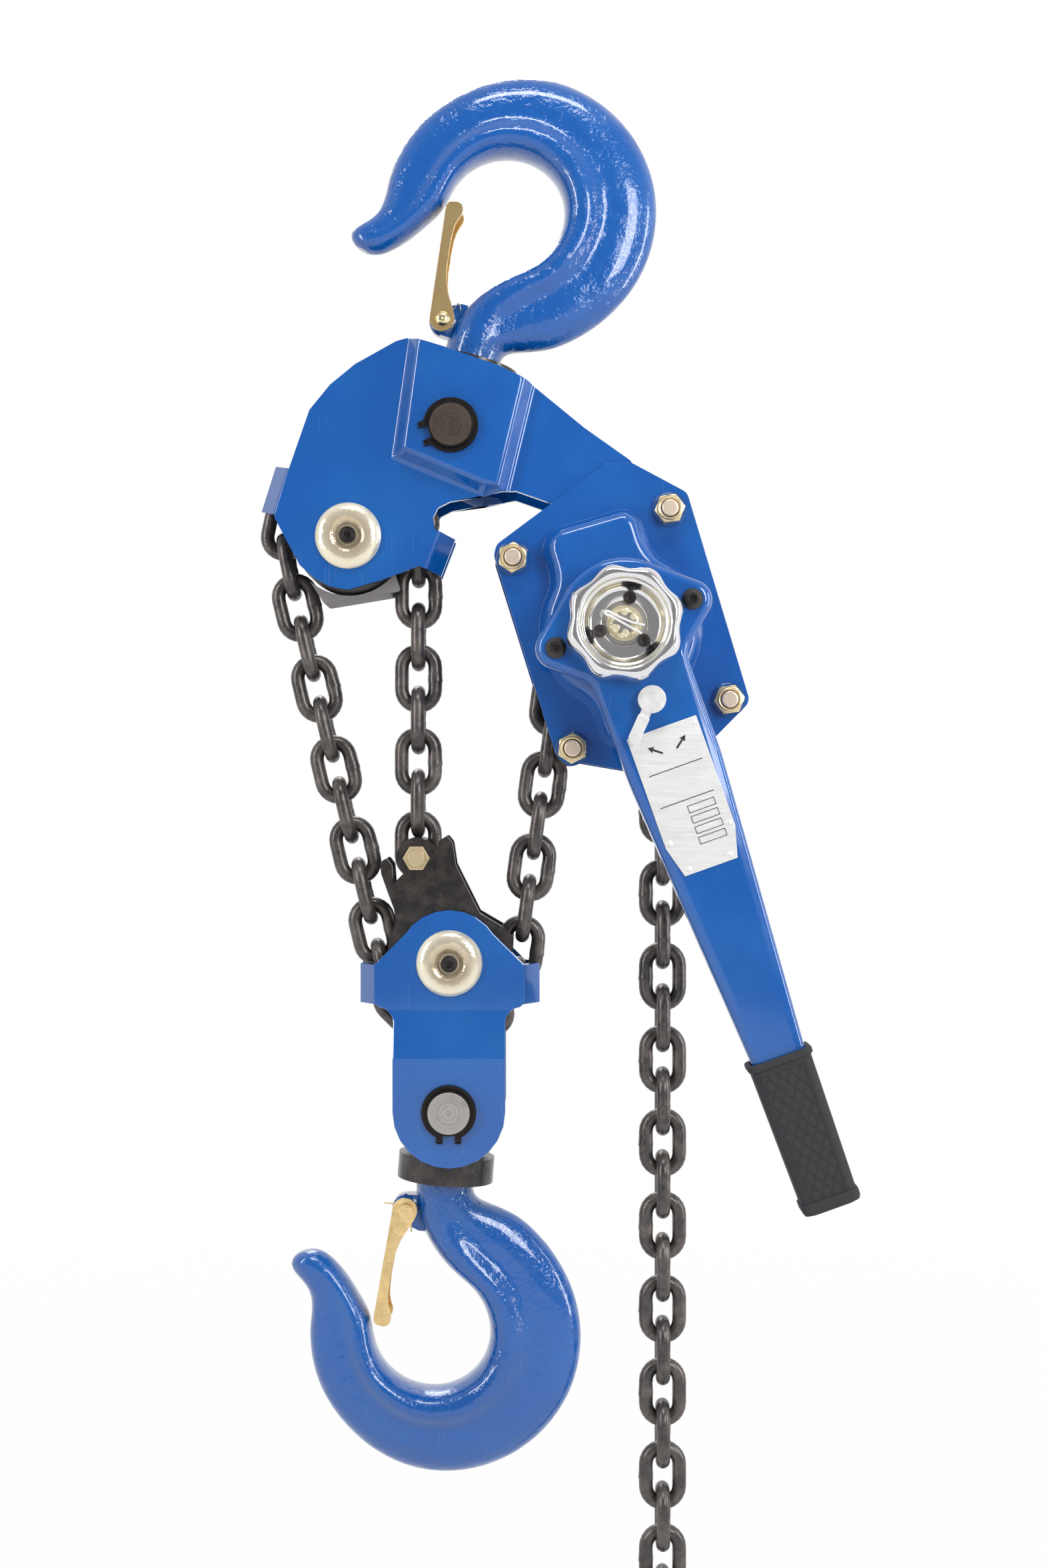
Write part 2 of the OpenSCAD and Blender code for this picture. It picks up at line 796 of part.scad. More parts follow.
module stay_bolts() {
    color(zinc) each_stay() {
        rod(stay_d, -nut_seat - body_nut_h - 2, nut_seat + body_nut_h + 2);
        rod(stay_collar_d, -gap_half, gap_half);
    }
}

module body_nuts() {
    color(zinc) each_stay() front_and_rear() difference() {
        union() {
            rod(24, nut_seat - washer_t, nut_seat);
            slab(nut_seat - 0.1, nut_seat + 7.5) circle(d = nut_af / cos(30), $fn = 6);
            turned([
                [0, nut_seat + 7], [nut_af / 2 - 0.3, nut_seat + 7], [nut_af / 2 - 0.3, nut_seat + 8],
                [nut_af / 2 - 2.5, nut_seat + body_nut_h], [0, nut_seat + body_nut_h]
            ]);
        }
        rod(stay_d + 2 * run_play, 0, 2 * nut_seat);
    }
}

// ---------------------------------------------------------------- idlers
idler_shoulder = mid_r(idler_r, flat_chord) - wire_d / 2 - link_play;
idler_floor = mid_r(idler_r, upright_chord) - link_w / 2 - 0.6;
slot_half = wire_d / 2 + slot_play;
bearing_out = axle_d / 2 + bearing_wall;
module idler() {
    half = idler_w / 2;
    difference() {
        turned([
            [bearing_out + run_play, -half], [idler_shoulder - 1.5, -half],
            [idler_shoulder, -half + 1.5], [idler_shoulder, -slot_half - 1],
            [idler_shoulder - 1, -slot_half], [idler_floor, -slot_half],
            [idler_floor, slot_half], [idler_shoulder - 1, slot_half],
            [idler_shoulder, slot_half + 1], [idler_shoulder, half - 1.5],
            [idler_shoulder - 1.5, half], [bearing_out + run_play, half]
        ]);
        // Lightening rings in both faces
        front_and_rear() tube(2 * idler_shoulder - 12, 2 * bearing_out + 8, half - 3, half + 1);
    }
}

module needle_bearing() {
    front_and_rear() tube(2 * bearing_out, axle_d + 2 * run_play, 0, idler_w / 2 + 0.5);
    tube(2 * bearing_out, axle_d + 2 * run_play, -1, 1);
}

cap_h = 6;
cap_screw_d = 12;
module axle_cap() {
    y = plate_out;
    difference() {
        turned([
            [0, y], [cap_d / 2, y], [cap_d / 2 - 0.4, y + 1.8], [cap_d / 2 - 3, y + 4.2],
            [cap_d / 2 - 7, y + cap_h], [cap_d / 2 - 11, y + cap_h - 0.3],
            [cap_d / 2 - 15, y + 3.4], [cap_screw_d / 2 + 1, y + 2.4], [0, y + 2.4]
        ]);
        rod(6.6, 0, 2 * y);
    }
}

module cap_screw() {
    y = plate_out + 2.4;
    difference() {
        union() {
            rod(cap_screw_d, y, y + 5);
            rod(6, y - 16, y + 0.1);
        }
        translate([0, y + 5, 0]) rotate([90, 0, 0]) cylinder(d = 5.8, h = 3, $fn = 6);
    }
}

module idler_axle() {
    difference() {
        rod(axle_d, -plate_out + 0.1, plate_out - 0.1);
        front_and_rear() rod(6 + 2 * run_play, plate_out - 14.5, plate_out + 1);
    }
    // Spacers that keep the sheave between the plates
    front_and_rear() tube(2 * bearing_out + 5, axle_d, idler_w / 2 + 0.7, gap_half);
}

module upper_idler() {
    color(steel) at(idler_at) idler();
}

module upper_bearing() {
    color(steel) at(idler_at) needle_bearing();
}

module upper_axle() {
    color(steel) at(idler_at) idler_axle();
}

module upper_axle_caps() {
    color(zinc) at(idler_at) front_and_rear() axle_cap();
}

module upper_cap_screws() {
    color(black) at(idler_at) front_and_rear() cap_screw();
}

module lower_idler() {
    color(steel) at(low_axle_at) {
        idler();
        needle_bearing();
    }
}

// Room left between two falls of chain, between the lines that run beside them
guide_gap = 2.5;
module between(run_a, run_b, side) {
    off = side * (link_w / 2 + guide_gap);
    near_a = off * left_of(run_a[2]);
    near_b = off * left_of(run_b[2]);
    polygon([
        run_a[0] + near_a, run_a[1] + near_a, run_b[0] + near_b, run_b[1] + near_b
    ]);
}

// Cast block between the falls, hollowed round the idler, with a cheek against each plate
cheek_y = link_w / 2 + slot_play;
guide_bore = idler_shoulder + guide_gap;
// Corners, as a distance beyond the bore and a direction from the idler
guide_corners = [[-1.5, -153.4], [8.85, -110.2], [11.6, -46.1], [-4.9, -32.8], [-19.4, -26.6], [-14.9, -158.2]];
module upper_chain_guide() {
    color(cast) difference() {
        intersection() {
            at(idler_at) slab(-gap_half, gap_half)
                rounded(2) polygon([
                    for (c = guide_corners) (guide_bore + c[0]) * [cos(c[1]), sin(c[1])]
                ]);
            union() {
                front_and_rear() slab(cheek_y, gap_half) at_2d(idler_at) square(200, center = true);
                slab(-cheek_y - 0.1, cheek_y + 0.1) between(corners[0], corners[1], 1);
            }
        }
        at(idler_at) rod(2 * guide_bore, -gap_half - 1, gap_half + 1);
    }
}

// Block under the load sheave that strips the links from its pockets
module chain_stripper() {
    color(cast) difference() {
        intersection() {
            body_frame() slab(-gap_half, gap_half)
                rounded(2) polygon([[-40, -40], [-30, -84], [30, -84], [40, -40]]);
            slab(-gap_half - 1, gap_half + 1) between(corners[2], corners[3], -1);
        }
        at(hub_at) rod(2 * (load_rim + guide_gap), -gap_half - 1, gap_half + 1);
    }
}

// ---------------------------------------------------------------- load sheave and gears
load_rim = load_r + 1.5;
load_seat = mid_r(load_r, flat_chord) - wire_d / 2 - link_play;
load_floor = mid_r(load_r, upright_chord) - link_w / 2 - 0.6;
journal_d = 36;
shaft_bore = shaft_d + 1;
bearing_y = gap_half + 0.5;
spline_d = 30;
load_gear_y = plate_out + 2;
mid_gear_y = load_gear_y + load_gear_w + 1;
gear_axis = gear_m * (pinion_z + wheel_z) / 2;

module stadium(length, width) {
    for (s = [-1, 1]) translate([s * (length - width) / 2, 0]) circle(d = width);
    square([length - width, width], center = true);
}

module load_sheave() {
    pocket_len = link_pitch + 2 * wire_d + 1.6;
    pocket_w = link_w + 1.6;
    color(steel) at(hub_at) difference() {
        union() {
            rod(2 * load_rim, -load_sheave_w / 2, load_sheave_w / 2);
            rod(journal_d, -plate_out - 0.5, plate_out + 0.5);
            rod(spline_d, 0, load_gear_y + load_gear_w);
        }
        rod(shaft_bore, -2 * plate_out, 3 * plate_out);
        tube(3 * load_rim, 2 * load_floor, -slot_half, slot_half);
        for (k = [0 : load_pockets - 1])
            rotate([0, -load_phase - k * 360 / load_pockets, 0]) translate([load_seat, 0, 0])
                rotate([0, 90, 0]) linear_extrude(load_rim) stadium(pocket_len, pocket_w);
    }
}

race_t = 3.5;
rollers = 16;
module sheave_bearings() {
    color(steel) at(hub_at) front_and_rear() {
        tube(bearing_d, bearing_d - 2 * race_t, bearing_y, plate_out);
        tube(journal_d + 2 * race_t, journal_d + 2 * run_play, bearing_y, plate_out);
        // Rollers between the races
        for (k = [0 : rollers - 1])
            rotate([0, 360 / rollers * k, 0]) translate([(bearing_d + journal_d) / 4, 0, 0])
                rod((bearing_d - journal_d) / 2 - 2 * race_t + 0.2, bearing_y + 0.6, plate_out - 0.6);
    }
}

// Involute gear outline with a tooth on the +x axis; shift is the profile shift
function involute(a) = tan(a) * 180 / PI - a;
module gear_2d(z, shift) {
    m = gear_m;
    r = m * z / 2;
    base = r * cos(20);
    tip = r + m * (1 + shift) - 0.1;
    root = r - m * (1.25 - shift);
    low = max(root, base);
    thick = m * (PI / 2 + 2 * shift * tan(20)) - backlash / 2;
    half = thick / (2 * r) * 180 / PI + involute(20);
    flank = [for (t = [0, 0.35, 0.7, 1]) let(q = low + (tip - low) * t) [q, half - involute(acos(base / q))]];
    foot = [root, half];
    side = concat([foot], flank);
    polygon([
        for (k = [0 : z - 1]) let(mid = 360 * k / z)
            for (p = concat(
                [for (f = side) [f[0], mid - f[1]]],
                [for (i = [len(side) - 1 : -1 : 0]) [side[i][0], mid + side[i][1]]]
            )) p[0] * [cos(p[1]), sin(p[1])]
    ]);
}

pinion_shift = 0.41;
module load_gear() {
    color(steel) body_frame() difference() {
        slab(load_gear_y, load_gear_y + load_gear_w) rotate(90) gear_2d(wheel_z, -pinion_shift);
        rod(spline_d + 2 * run_play, 0, 200);
    }
}

// Large gear and pinion on one stub shaft that runs in the plate and the case
stub_d = 12;
module intermediate_gear(side) {
    gap_turn = side * 90 + 180 / pinion_z;
    large_turn = side * 90 + 180;
    color(steel) body_frame() translate([0, 0, side * gear_axis]) {
        slab(load_gear_y, load_gear_y + load_gear_w) rotate(gap_turn + 180) gear_2d(pinion_z, pinion_shift);
        slab(mid_gear_y, mid_gear_y + mid_gear_w) rotate(large_turn + 180 / wheel_z)
            gear_2d(wheel_z, -pinion_shift);
        rod(stub_d, plate_out + 0.2, case_in - 0.2);
        rod(stub_d + 4, load_gear_y + load_gear_w - 0.1, mid_gear_y + 0.1);
    }
}

module intermediate_gear_a() {
    intermediate_gear(1);
}

module intermediate_gear_b() {
    intermediate_gear(-1);
}

// Brake and hub depths, from the front plate outwards
disc_y = plate_out + 3;
disc_t = 4;
lining_1 = disc_y + disc_t;
ratchet_y = lining_1 + lining_t;
lining_2 = ratchet_y + ratchet_t;
change_y = lining_2 + lining_t;
cover_y = plate_out + cover_h;
lever_y = cover_y + cover_t + 2;
lever_front = lever_y + lever_h;
wheel_y = lever_front + 1.5;
nut_y = wheel_y + 2.65;
castle_h = 9;
split_pin_y = nut_y + 5.6;
split_pin_d = 3;
thread_end = split_pin_y + 3.5;

split_pin_turn = -45;
module pinion_shaft() {
    color(steel) body_frame() {
        rod(shaft_d, -disc_y - disc_t - 12, mid_gear_y + 0.1);
        slab(mid_gear_y - 0.5, mid_gear_y + mid_gear_w + 1) rotate(90) gear_2d(pinion_z, pinion_shift);
        rod(12, mid_gear_y, case_in - 0.2);
        difference() {
            rod(14, -thread_end, -disc_y);
            translate([0, -split_pin_y, 0]) rotate([0, split_pin_turn, 0])
                cylinder(d = split_pin_d + 2 * pin_play, h = 30, center = true);
        }
    }
}

case_in = mid_gear_y + mid_gear_w + 6;
case_out = case_in + cover_t;
module gear_case() {
    color(blue) body_frame() difference() {
        union() {
            slab(plate_out, plate_out + cover_t) body_outline();
            hull() for (s = [-1, 1]) translate([0, 0, s * gear_axis]) rotate([-90, 0, 0])
                translate([0, 0, plate_out]) cylinder(r1 = 43, r2 = 40, h = case_out - plate_out, $fn = 48);
        }
        hull() for (s = [-1, 1]) translate([0, 0, s * gear_axis]) rotate([-90, 0, 0])
            translate([0, 0, plate_out - 1]) cylinder(r1 = 40, r2 = 37, h = case_in - plate_out + 1, $fn = 48);
        for (u = [-1, 1], w = [-1, 1])
            translate([u * stay_u / 2, 0, w * stay_w / 2]) rod(stay_d + 2 * pin_play, 0, 100);
    }
    // Bearing cups inside the case
    color(blue) body_frame() for (s = [-1, 0, 1])
        translate([0, 0, s * gear_axis])
            tube(s == 0 ? 20 : stub_d + 8, (s == 0 ? 12 : stub_d) + 2 * run_play, case_in - 5, case_in + 1);
}

// ---------------------------------------------------------------- brake
module disc_hub() {
    color(steel) body_frame() difference() {
        union() {
            rod(62, -disc_y - disc_t, -disc_y);
            rod(30, -change_y + 0.2, -disc_y);
        }
        rod(shaft_d + 2 * run_play, -disc_y - disc_t - 12.05, 0);
        rod(14 + 2 * run_play, -200, 0);
    }
}

module friction_discs() {
    color("#5a4a3a") body_frame() {
        tube(60, 31, -lining_1 - lining_t, -lining_1);
        tube(60, 31, -lining_2 - lining_t, -lining_2);
    }
}

ratchet_root = ratchet_d / 2 - 5;
module ratchet_2d(z, tip, root) {
    polygon([
        for (k = [0 : z - 1]) let(a = 360 * k / z)
            for (p = [[root, a], [tip, a + 3], [tip, a + 7], [root, a + 0.8 * 360 / z]])
                p[0] * [cos(p[1]), sin(p[1])]
    ]);
}

// Turn that leaves the pawls room to lift out of their notches
ratchet_phase = 4.6;
module ratchet_disc() {
    color(steel) body_frame() slab(-ratchet_y - ratchet_t + 0.1, -ratchet_y - 0.1)
        rotate(ratchet_phase) difference() {
            ratchet_2d(ratchet_z, ratchet_d / 2, ratchet_root);
            circle(d = 31);
        }
}

pawl_pin_at = [20, 56];
pawl_pin_d = 8;
pawl_boss_r = 7;
pawl_tip = [0, ratchet_root + 0.8];
module brake_pawl(side) {
    color(steel) body_frame() rotate([0, side, 0]) difference() {
        slab(-ratchet_y - ratchet_t + 0.2, -ratchet_y + 1) {
            at_2d(pawl_pin_at) circle(r = pawl_boss_r);
            polygon([
                pawl_tip, pawl_tip + [8, 4.6], pawl_pin_at + [3, -6.3], pawl_pin_at + [-4, 5.7],
                pawl_tip + [-0.4, 7]
            ]);
        }
        at(pawl_pin_at) rod(pawl_pin_d + 2 * pin_play, -100, 0);
    }
}

module brake_pawl_a() {
    brake_pawl(0);
}

module brake_pawl_b() {
    brake_pawl(180);
}

module pawl_pins() {
    color(steel) body_frame() for (s = [0, 180])
        rotate([0, s, 0]) at(pawl_pin_at) {
            rod(pawl_pin_d, -lining_2 - 1, -plate_out - 0.1);
            rod(pawl_pin_d + 4, -lining_2 - 2.4, -lining_2 - 0.8);
            rod(pawl_pin_d + 5, -ratchet_y + 1.4, -plate_out - 0.1);
        }
}

// Pressed dome over the brake: a drum that flows into a broad neck above and below
drum_r = 58;
neck_half = 37;
neck_reach = 82;
neck_corner = 17;
neck_fillet = 22;
fillet_x = neck_half + neck_fillet;
fillet_z = sqrt((drum_r + neck_fillet) * (drum_r + neck_fillet) - fillet_x * fillet_x);
fillet_to = atan2(fillet_z, fillet_x);
corner_at = [neck_half - neck_corner, neck_reach - neck_corner];
// Right half of the outline as arcs of [centre, radius, first normal, last normal, steps]
dome_arcs = [
    [corner_at, neck_corner, 90, 0, 5],
    [[fillet_x, fillet_z], -neck_fillet, 0, fillet_to, 4],
    [[0, 0], drum_r, fillet_to, -fillet_to, 12],
    [[fillet_x, -fillet_z], -neck_fillet, -fillet_to, 0, 4],
    [[corner_at[0], -corner_at[1]], neck_corner, 0, -90, 5]
];
// The pressing's side as [inset, height from the floor], ending in a rounded edge
edge_w = 8;
edge_steps = 5;
draft = 4;
dome_side = concat(
    [[0, 0], [draft * 0.4, (cover_h - edge_w) / 2]],
    [
        for (k = [0 : edge_steps]) let(a = 90 * k / edge_steps)
            [draft + edge_w * (1 - cos(a)), cover_h - edge_w * (1 - sin(a))]
    ]
);
module dome(wall) {
    skin([
        for (p = [for (i = [len(dome_side) - 1 : -1 : 0]) dome_side[i]])
            [for (q = arc_ring(dome_arcs, p[0] + wall)) [q[0], -plate_out - p[1] + wall, q[1]]]
    ]);
}

hub_bore_d = 36;
module brake_cover() {
    color(blue) body_frame() difference() {
        union() {
            slab(-plate_out - cover_t, -plate_out) body_outline();
            dome(0);
        }
        dome(cover_t);
        rod(hub_bore_d, -100, 0);
        for (u = [-1, 1], w = [-1, 1])
            translate([u * stay_u / 2, 0, w * stay_w / 2]) rod(stay_d + 2 * pin_play, -100, 0);
    }
}

change_gear_z = 14;
change_gear_d = 66;
module change_gear() {
    color(steel) body_frame() difference() {
        union() {
            rod(hub_bore_d - 1, -lever_y - lever_t - 0.5, -change_y - 0.1);
            rod(60, -change_y - 3, -change_y - 0.1);
            slab(-lever_y - lever_t - 11, -lever_y - lever_t - 0.5)
                ratchet_2d(change_gear_z, change_gear_d / 2, change_gear_d / 2 - 6);
            rod(30, -wheel_y - 2.6, -lever_y);
        }
        rod(14 + 2 * run_play, -200, 0);
    }
}

// ---------------------------------------------------------------- lever
taper_from = 100;
grip_from = lever_len - grip_len;
handle_tuck = 92;
taper = atan((handle_w - handle_end_w) / 2 / (grip_from - taper_from));
handle_tip_w = handle_end_w - 2 * handle_tuck * tan(taper);
taper_r = 120;
tip_r = 8;
throat_r = 16;
ear_tangent = acos((housing_r - ear_r) / ear_x);
throat_x = handle_w / 2 + throat_r;
throat_z = (throat_x * cos(ear_tangent) - housing_r - throat_r) / sin(ear_tangent);
lever_arcs = [
    [[0, 0], housing_r, 90, ear_tangent, 5],
    [[ear_x, 0], ear_r, ear_tangent, -ear_tangent, 9],
    [[throat_x, throat_z], -throat_r, -ear_tangent, 0, 5],
    [[handle_w / 2 - taper_r, -taper_from], taper_r, 0, -taper, 1],
    [[handle_tip_w / 2 - tip_r, -grip_from - handle_tuck + tip_r], tip_r, -taper, -90, 3]
];
function lever_ring(inset) = arc_ring(lever_arcs, inset);

seam_y = lever_y + 11;
bead_w = 6;
bead_steps = 4;
function lever_rib(inset, y) = [for (p = lever_ring(inset)) [p[0], y, p[1]]];
// One half of the lever: a face with a rounded edge and a wall round it down to the seam
module lever_shell(face, seam) {
    dir = sign(seam - face);
    ribs = concat(
        [
            for (k = [0 : bead_steps]) let(a = 90 * k / bead_steps)
                lever_rib(bead_w * (1 - sin(a)), face + dir * bead_w * (1 - cos(a)))
        ],
        [lever_rib(0, seam)]
    );
    difference() {
        skin(dir > 0 ? ribs : [for (i = [len(ribs) - 1 : -1 : 0]) ribs[i]]);
        slab(face + dir * lever_t, seam + dir) polygon(lever_ring(lever_t + 1.2));
    }
}

module lever_bosses(y0, y1) {
    for (s = [-1, 1]) translate([s * ear_x, 0, 0]) tube(17, 8.2, y0, y1);
}

module lever_front_shell() {
    color(blue) lever_frame() difference() {
        union() {
            lever_shell(-lever_front, -seam_y);
            lever_bosses(-lever_front + lever_t, -seam_y);
        }
        rod(33, -200, 0);
        for (s = [-1, 1]) translate([s * ear_x, 0, 0]) rod(8.2, -200, 0);
        translate([0, 0, -selector_down]) rod(selector_d + 2 * pin_play, -200, 0);
    }
}

module lever_rear_shell() {
    color(blue) lever_frame() difference() {
        union() {
            lever_shell(-lever_y, -seam_y);
            lever_bosses(-seam_y, -lever_y - lever_t);
        }
        rod(hub_bore_d, -200, 0);
        for (s = [-1, 1]) translate([s * ear_x, 0, 0]) rod(8.2, -200, 0);
        translate([0, 0, -selector_down]) rod(selector_d + 2 * pin_play, -200, 0);
    }
}

module lever_screws() {
    color(black) lever_frame() for (s = [-1, 1]) translate([s * ear_x, 0, 0]) {
        difference() {
            union() {
                turned([
                    [0, -lever_front], [7.2, -lever_front], [7.2, -lever_front - 2],
                    [4.8, -lever_front - 4.6], [0, -lever_front - 4.6]
                ]);
                rod(8, -lever_front - 0.5, -lever_y + 1);
            }
            translate([0, -lever_front - 2, 0]) rotate([90, 0, 0]) cylinder(d = 5.8, h = 4, $fn = 6);
        }
        slab(-lever_y + 0.05, -lever_y + 4) difference() {
            circle(d = 14.5, $fn = 6);
            circle(d = 8 + 2 * run_play);
        }
    }
}

// Selector: knob and finger in front, change pawl inside, on one shaft
selector_down = change_gear_d / 2 + 22;
selector_d = 10;
selector_turn = 44;
knob_d = 19;
finger_len = 33;
module selector() {
    knob_y = lever_front + 1;
    pawl_y = lever_y + lever_t + 0.8;
    lever_frame() translate([0, 0, -selector_down]) rotate([0, selector_turn, 0]) {
        color(chrome) {
            rod(knob_d, -knob_y - 8, -knob_y);
            slab(-knob_y - 7, -knob_y - 3.5) polygon([[-3.4, 0], [3.4, 0], [3.6, -19], [-3.6, -19]]);
            slab(-knob_y - 8, -knob_y - 4.6) {
                translate([-4.1, -finger_len + 4]) square([8.2, 16]);
                translate([0, -finger_len + 4]) circle(d = 8.2);
            }
        }
        color(steel) {
            rod(selector_d, -knob_y - 1, -lever_y + 0.5);
            slab(-pawl_y - 9, -pawl_y) for (s = [0, 1]) mirror([s, 0, 0]) polygon([
                [0, -8], [7, -7], [12, -1], [16.5, 10], [15, 14.6], [12, 16.8], [7.5, 11.5], [0, 8.5]
            ]);
        }
    }
}

// Rubber grip, open at the top, with a rim at each end
module grip_block(w_top, w_end, h, z0, z1) {
    skin([
        for (k = [0 : 6]) let(
            t = k / 6, w = w_top + (w_end - w_top) * t, z = z0 + (z1 - z0) * t
        ) grip_ring(w, h, z)
    ]);
}

grip_corner = 6;
grip_steps = 5;
function grip_ring(w, h, z, corner = grip_corner) = [
    for (q = [0 : 3]) for (i = [0 : grip_steps]) let(
        a = -90 * q - 90 * i / grip_steps,
        sx = (q == 0 || q == 3) ? 1 : -1,
        sy = q < 2 ? -1 : 1
    ) [
        sx * (w / 2 - corner) + corner * cos(a),
        sy * (h / 2 - corner) + corner * sin(a),
        z
    ]
];

grip_w = 43;
grip_end_w = 39;
grip_h = 31;
rim_h = 5;
socket_corner = bead_w - 1;
module grip() {
    z0 = -grip_from;
    z1 = -lever_len;
    mid_y = -(lever_y + lever_front) / 2;
    color(rubber) lever_frame() difference() {
        translate([0, mid_y, 0]) {
            grip_block(grip_w, grip_end_w, grip_h, z0 - 0.1, z1 + 4);
            skin([
                grip_ring(grip_w + 2, grip_h + 2, z0), grip_ring(grip_w + 3.4, grip_h + 3.4, z0 - 1),
                grip_ring(grip_w + 3.2, grip_h + 3.2, z0 - rim_h + 1),
                grip_ring(grip_w + 1.6, grip_h + 2, z0 - rim_h)
            ]);
            skin([
                grip_ring(grip_end_w + 1, grip_h + 1.6, z1 + 9), grip_ring(grip_end_w + 2.6, grip_h + 3, z1 + 8),
                grip_ring(grip_end_w + 2.4, grip_h + 3, z1 + 3.5),
                grip_ring(grip_end_w + 0.4, grip_h + 1, z1 + 1), grip_ring(grip_end_w - 5, grip_h - 4, z1)
            ]);
        }
        // Socket that takes the end of the lever
        translate([0, mid_y, 0]) skin([
            grip_ring(handle_end_w + 2 * part_gap, lever_h + 0.4, z0 + 1, socket_corner),
            grip_ring(handle_tip_w + 2 * part_gap, lever_h + 0.4, z0 - handle_tuck - 1, socket_corner)
        ]);
    }
}

plate_w = 50;
plate_from = 75;
plate_to = 176;
rivets = [[22, -79], [-22, -79], [21.5, -151.5], [-21.5, -151.5], [15, -172], [-15, -172]];
module name_plate() {
    color(steel) lever_frame() {
        slab(-lever_front - 0.8, -lever_front) difference() {
            polygon([
                [-plate_w / 2, -plate_from], [plate_w / 2, -plate_from], [plate_w / 2, -154],
                [19, -plate_to], [-19, -plate_to], [-plate_w / 2, -154]
            ]);
        }
        for (p = rivets) translate([p[0], 0, p[1]])
            turned([[0, -lever_front - 0.7], [2.2, -lever_front - 0.7], [1.4, -lever_front - 1.6], [0, -lever_front - 1.8]]);
    }
}

// ---------------------------------------------------------------- hand wheel
dish_d = 57;
web_d = 44;
module hand_wheel() {
    y = wheel_y;
    r = wheel_d / 2 + lobe_h;
    color(chrome) body_frame() intersection() {
        turned([
            [15.1, -y], [r - 6, -y], [r - 1, -y - 4], [r, -y - 9], [r - 1.5, -y - wheel_h + 3],
            [r - 4.5, -y - wheel_h + 0.4], [r - 7, -y - wheel_h], [dish_d / 2 + 1.5, -y - wheel_h + 2],
            [dish_d / 2, -y - wheel_h + 4], [dish_d / 2 - 2, -y - 6], [web_d / 2 + 1, -y - 3.5],
            [web_d / 2, -y - 2.6], [15.1, -y - 2.6]
        ]);
        slab(-y - wheel_h - 1, -y + 1) polygon([
            for (a = [0 : 3 : 359]) (wheel_d / 2 + lobe_h * cos(wheel_lobes * a)) * [cos(a), sin(a)]
        ]);
    }
}

wheel_screw_r = 17.6;
module wheel_screws() {
    color(black) body_frame() for (a = [61, 181, 301])
        translate([wheel_screw_r * cos(a), 0, wheel_screw_r * sin(a)])
            difference() {
                rod(9, -wheel_y - 6, -wheel_y - 2.65);
                translate([0, -wheel_y - 4.5, 0]) rotate([90, 0, 0]) cylinder(d = 4, h = 4, $fn = 6);
            }
}

castle_d = 21;
slot_h = split_pin_d + 0.8;
module castle_nut() {
    color(zinc) body_frame() difference() {
        union() {
            slab(-nut_y - 3.6, -nut_y) circle(d = castle_d, $fn = 6);
            rod(castle_d * cos(30) - 1, -nut_y - castle_h, -nut_y - 3.5);
        }
        rod(14 + 2 * run_play, -200, 0);
        for (a = [0, 60, 120]) rotate([0, split_pin_turn + a, 0])
            translate([-slot_h / 2, -nut_y - castle_h - 1, -castle_d])
                cube([slot_h, nut_y + castle_h + 1.2 - split_pin_y + split_pin_d / 2, 2 * castle_d]);
    }
}

module split_pin() {
    color(steel) body_frame() rotate([0, split_pin_turn, 0]) translate([0, -split_pin_y, 0]) {
        cylinder(d = split_pin_d, h = 24, center = true, $fn = 16);
        translate([0, 0, -14]) rotate([90, 0, 0]) rotate_extrude($fn = 24)
            translate([2.6, 0]) circle(d = 1.8, $fn = 16);
    }
}

// ---------------------------------------------------------------- lower block
low_plate_r = 39.6;
low_lobe_r = 37.6;
shoulder_half = 53;
module low_outline() {
    at_2d(low_axle_at) filleted(10) union() {
        circle(r = low_lobe_r);
        polygon([
            [-30, 22], [-shoulder_half, -1], [-shoulder_half, -28], [-shoulder_half + 3, -31],
            [-shoulder_half + 8, -32], [-low_plate_r, -38], [-low_plate_r, -pin_drop],
            [low_plate_r, -pin_drop], [low_plate_r, -38], [shoulder_half - 8, -32],
            [shoulder_half - 3, -31], [shoulder_half, -28], [shoulder_half, -1], [30, 22]
        ]);
        translate([0, -pin_drop]) circle(r = low_plate_r);
    }
}

bend_from = 33;
bend_to = 66;
module lower_plate() {
    difference() {
        union() {
            intersection() {
                slab(gap_half - 0.5, pocket_out + 1) low_outline();
                at(low_axle_at) translate([-100, 0, 0]) rotate([90, 0, 90]) linear_extrude(200) polygon([
                    [gap_half, 60], [plate_out, 60], [plate_out, -bend_from], [pocket_out, -bend_to],
                    [pocket_out, -200], [pocket_in, -200], [pocket_in, -bend_to - 1], [gap_half, -bend_from - 1]
                ]);
            }
            for (s = [-1, 1])
                at(low_axle_at + [s * (shoulder_half - 1), -15]) mirror([0, 1, 0]) flare(28, s);
        }
        at(low_axle_at) rod(axle_d + 2 * run_play, 0, 100);
        at(low_pin_at) rod(pin_d + 2 * pin_play, 0, 100);
    }
}

module lower_plates() {
    color(blue) front_and_rear() lower_plate();
}

anchor_in = idler_w / 2 + 0.7;
module lower_axle() {
    color(steel) at(low_axle_at) difference() {
        rod(axle_d, -plate_out + 0.1, plate_out - 0.1);
        front_and_rear() rod(6 + 2 * run_play, plate_out - 14.5, plate_out + 1);
    }
}

module lower_axle_caps() {
    at(low_axle_at) front_and_rear() {
        color(zinc) axle_cap();
        color(black) cap_screw();
    }
}

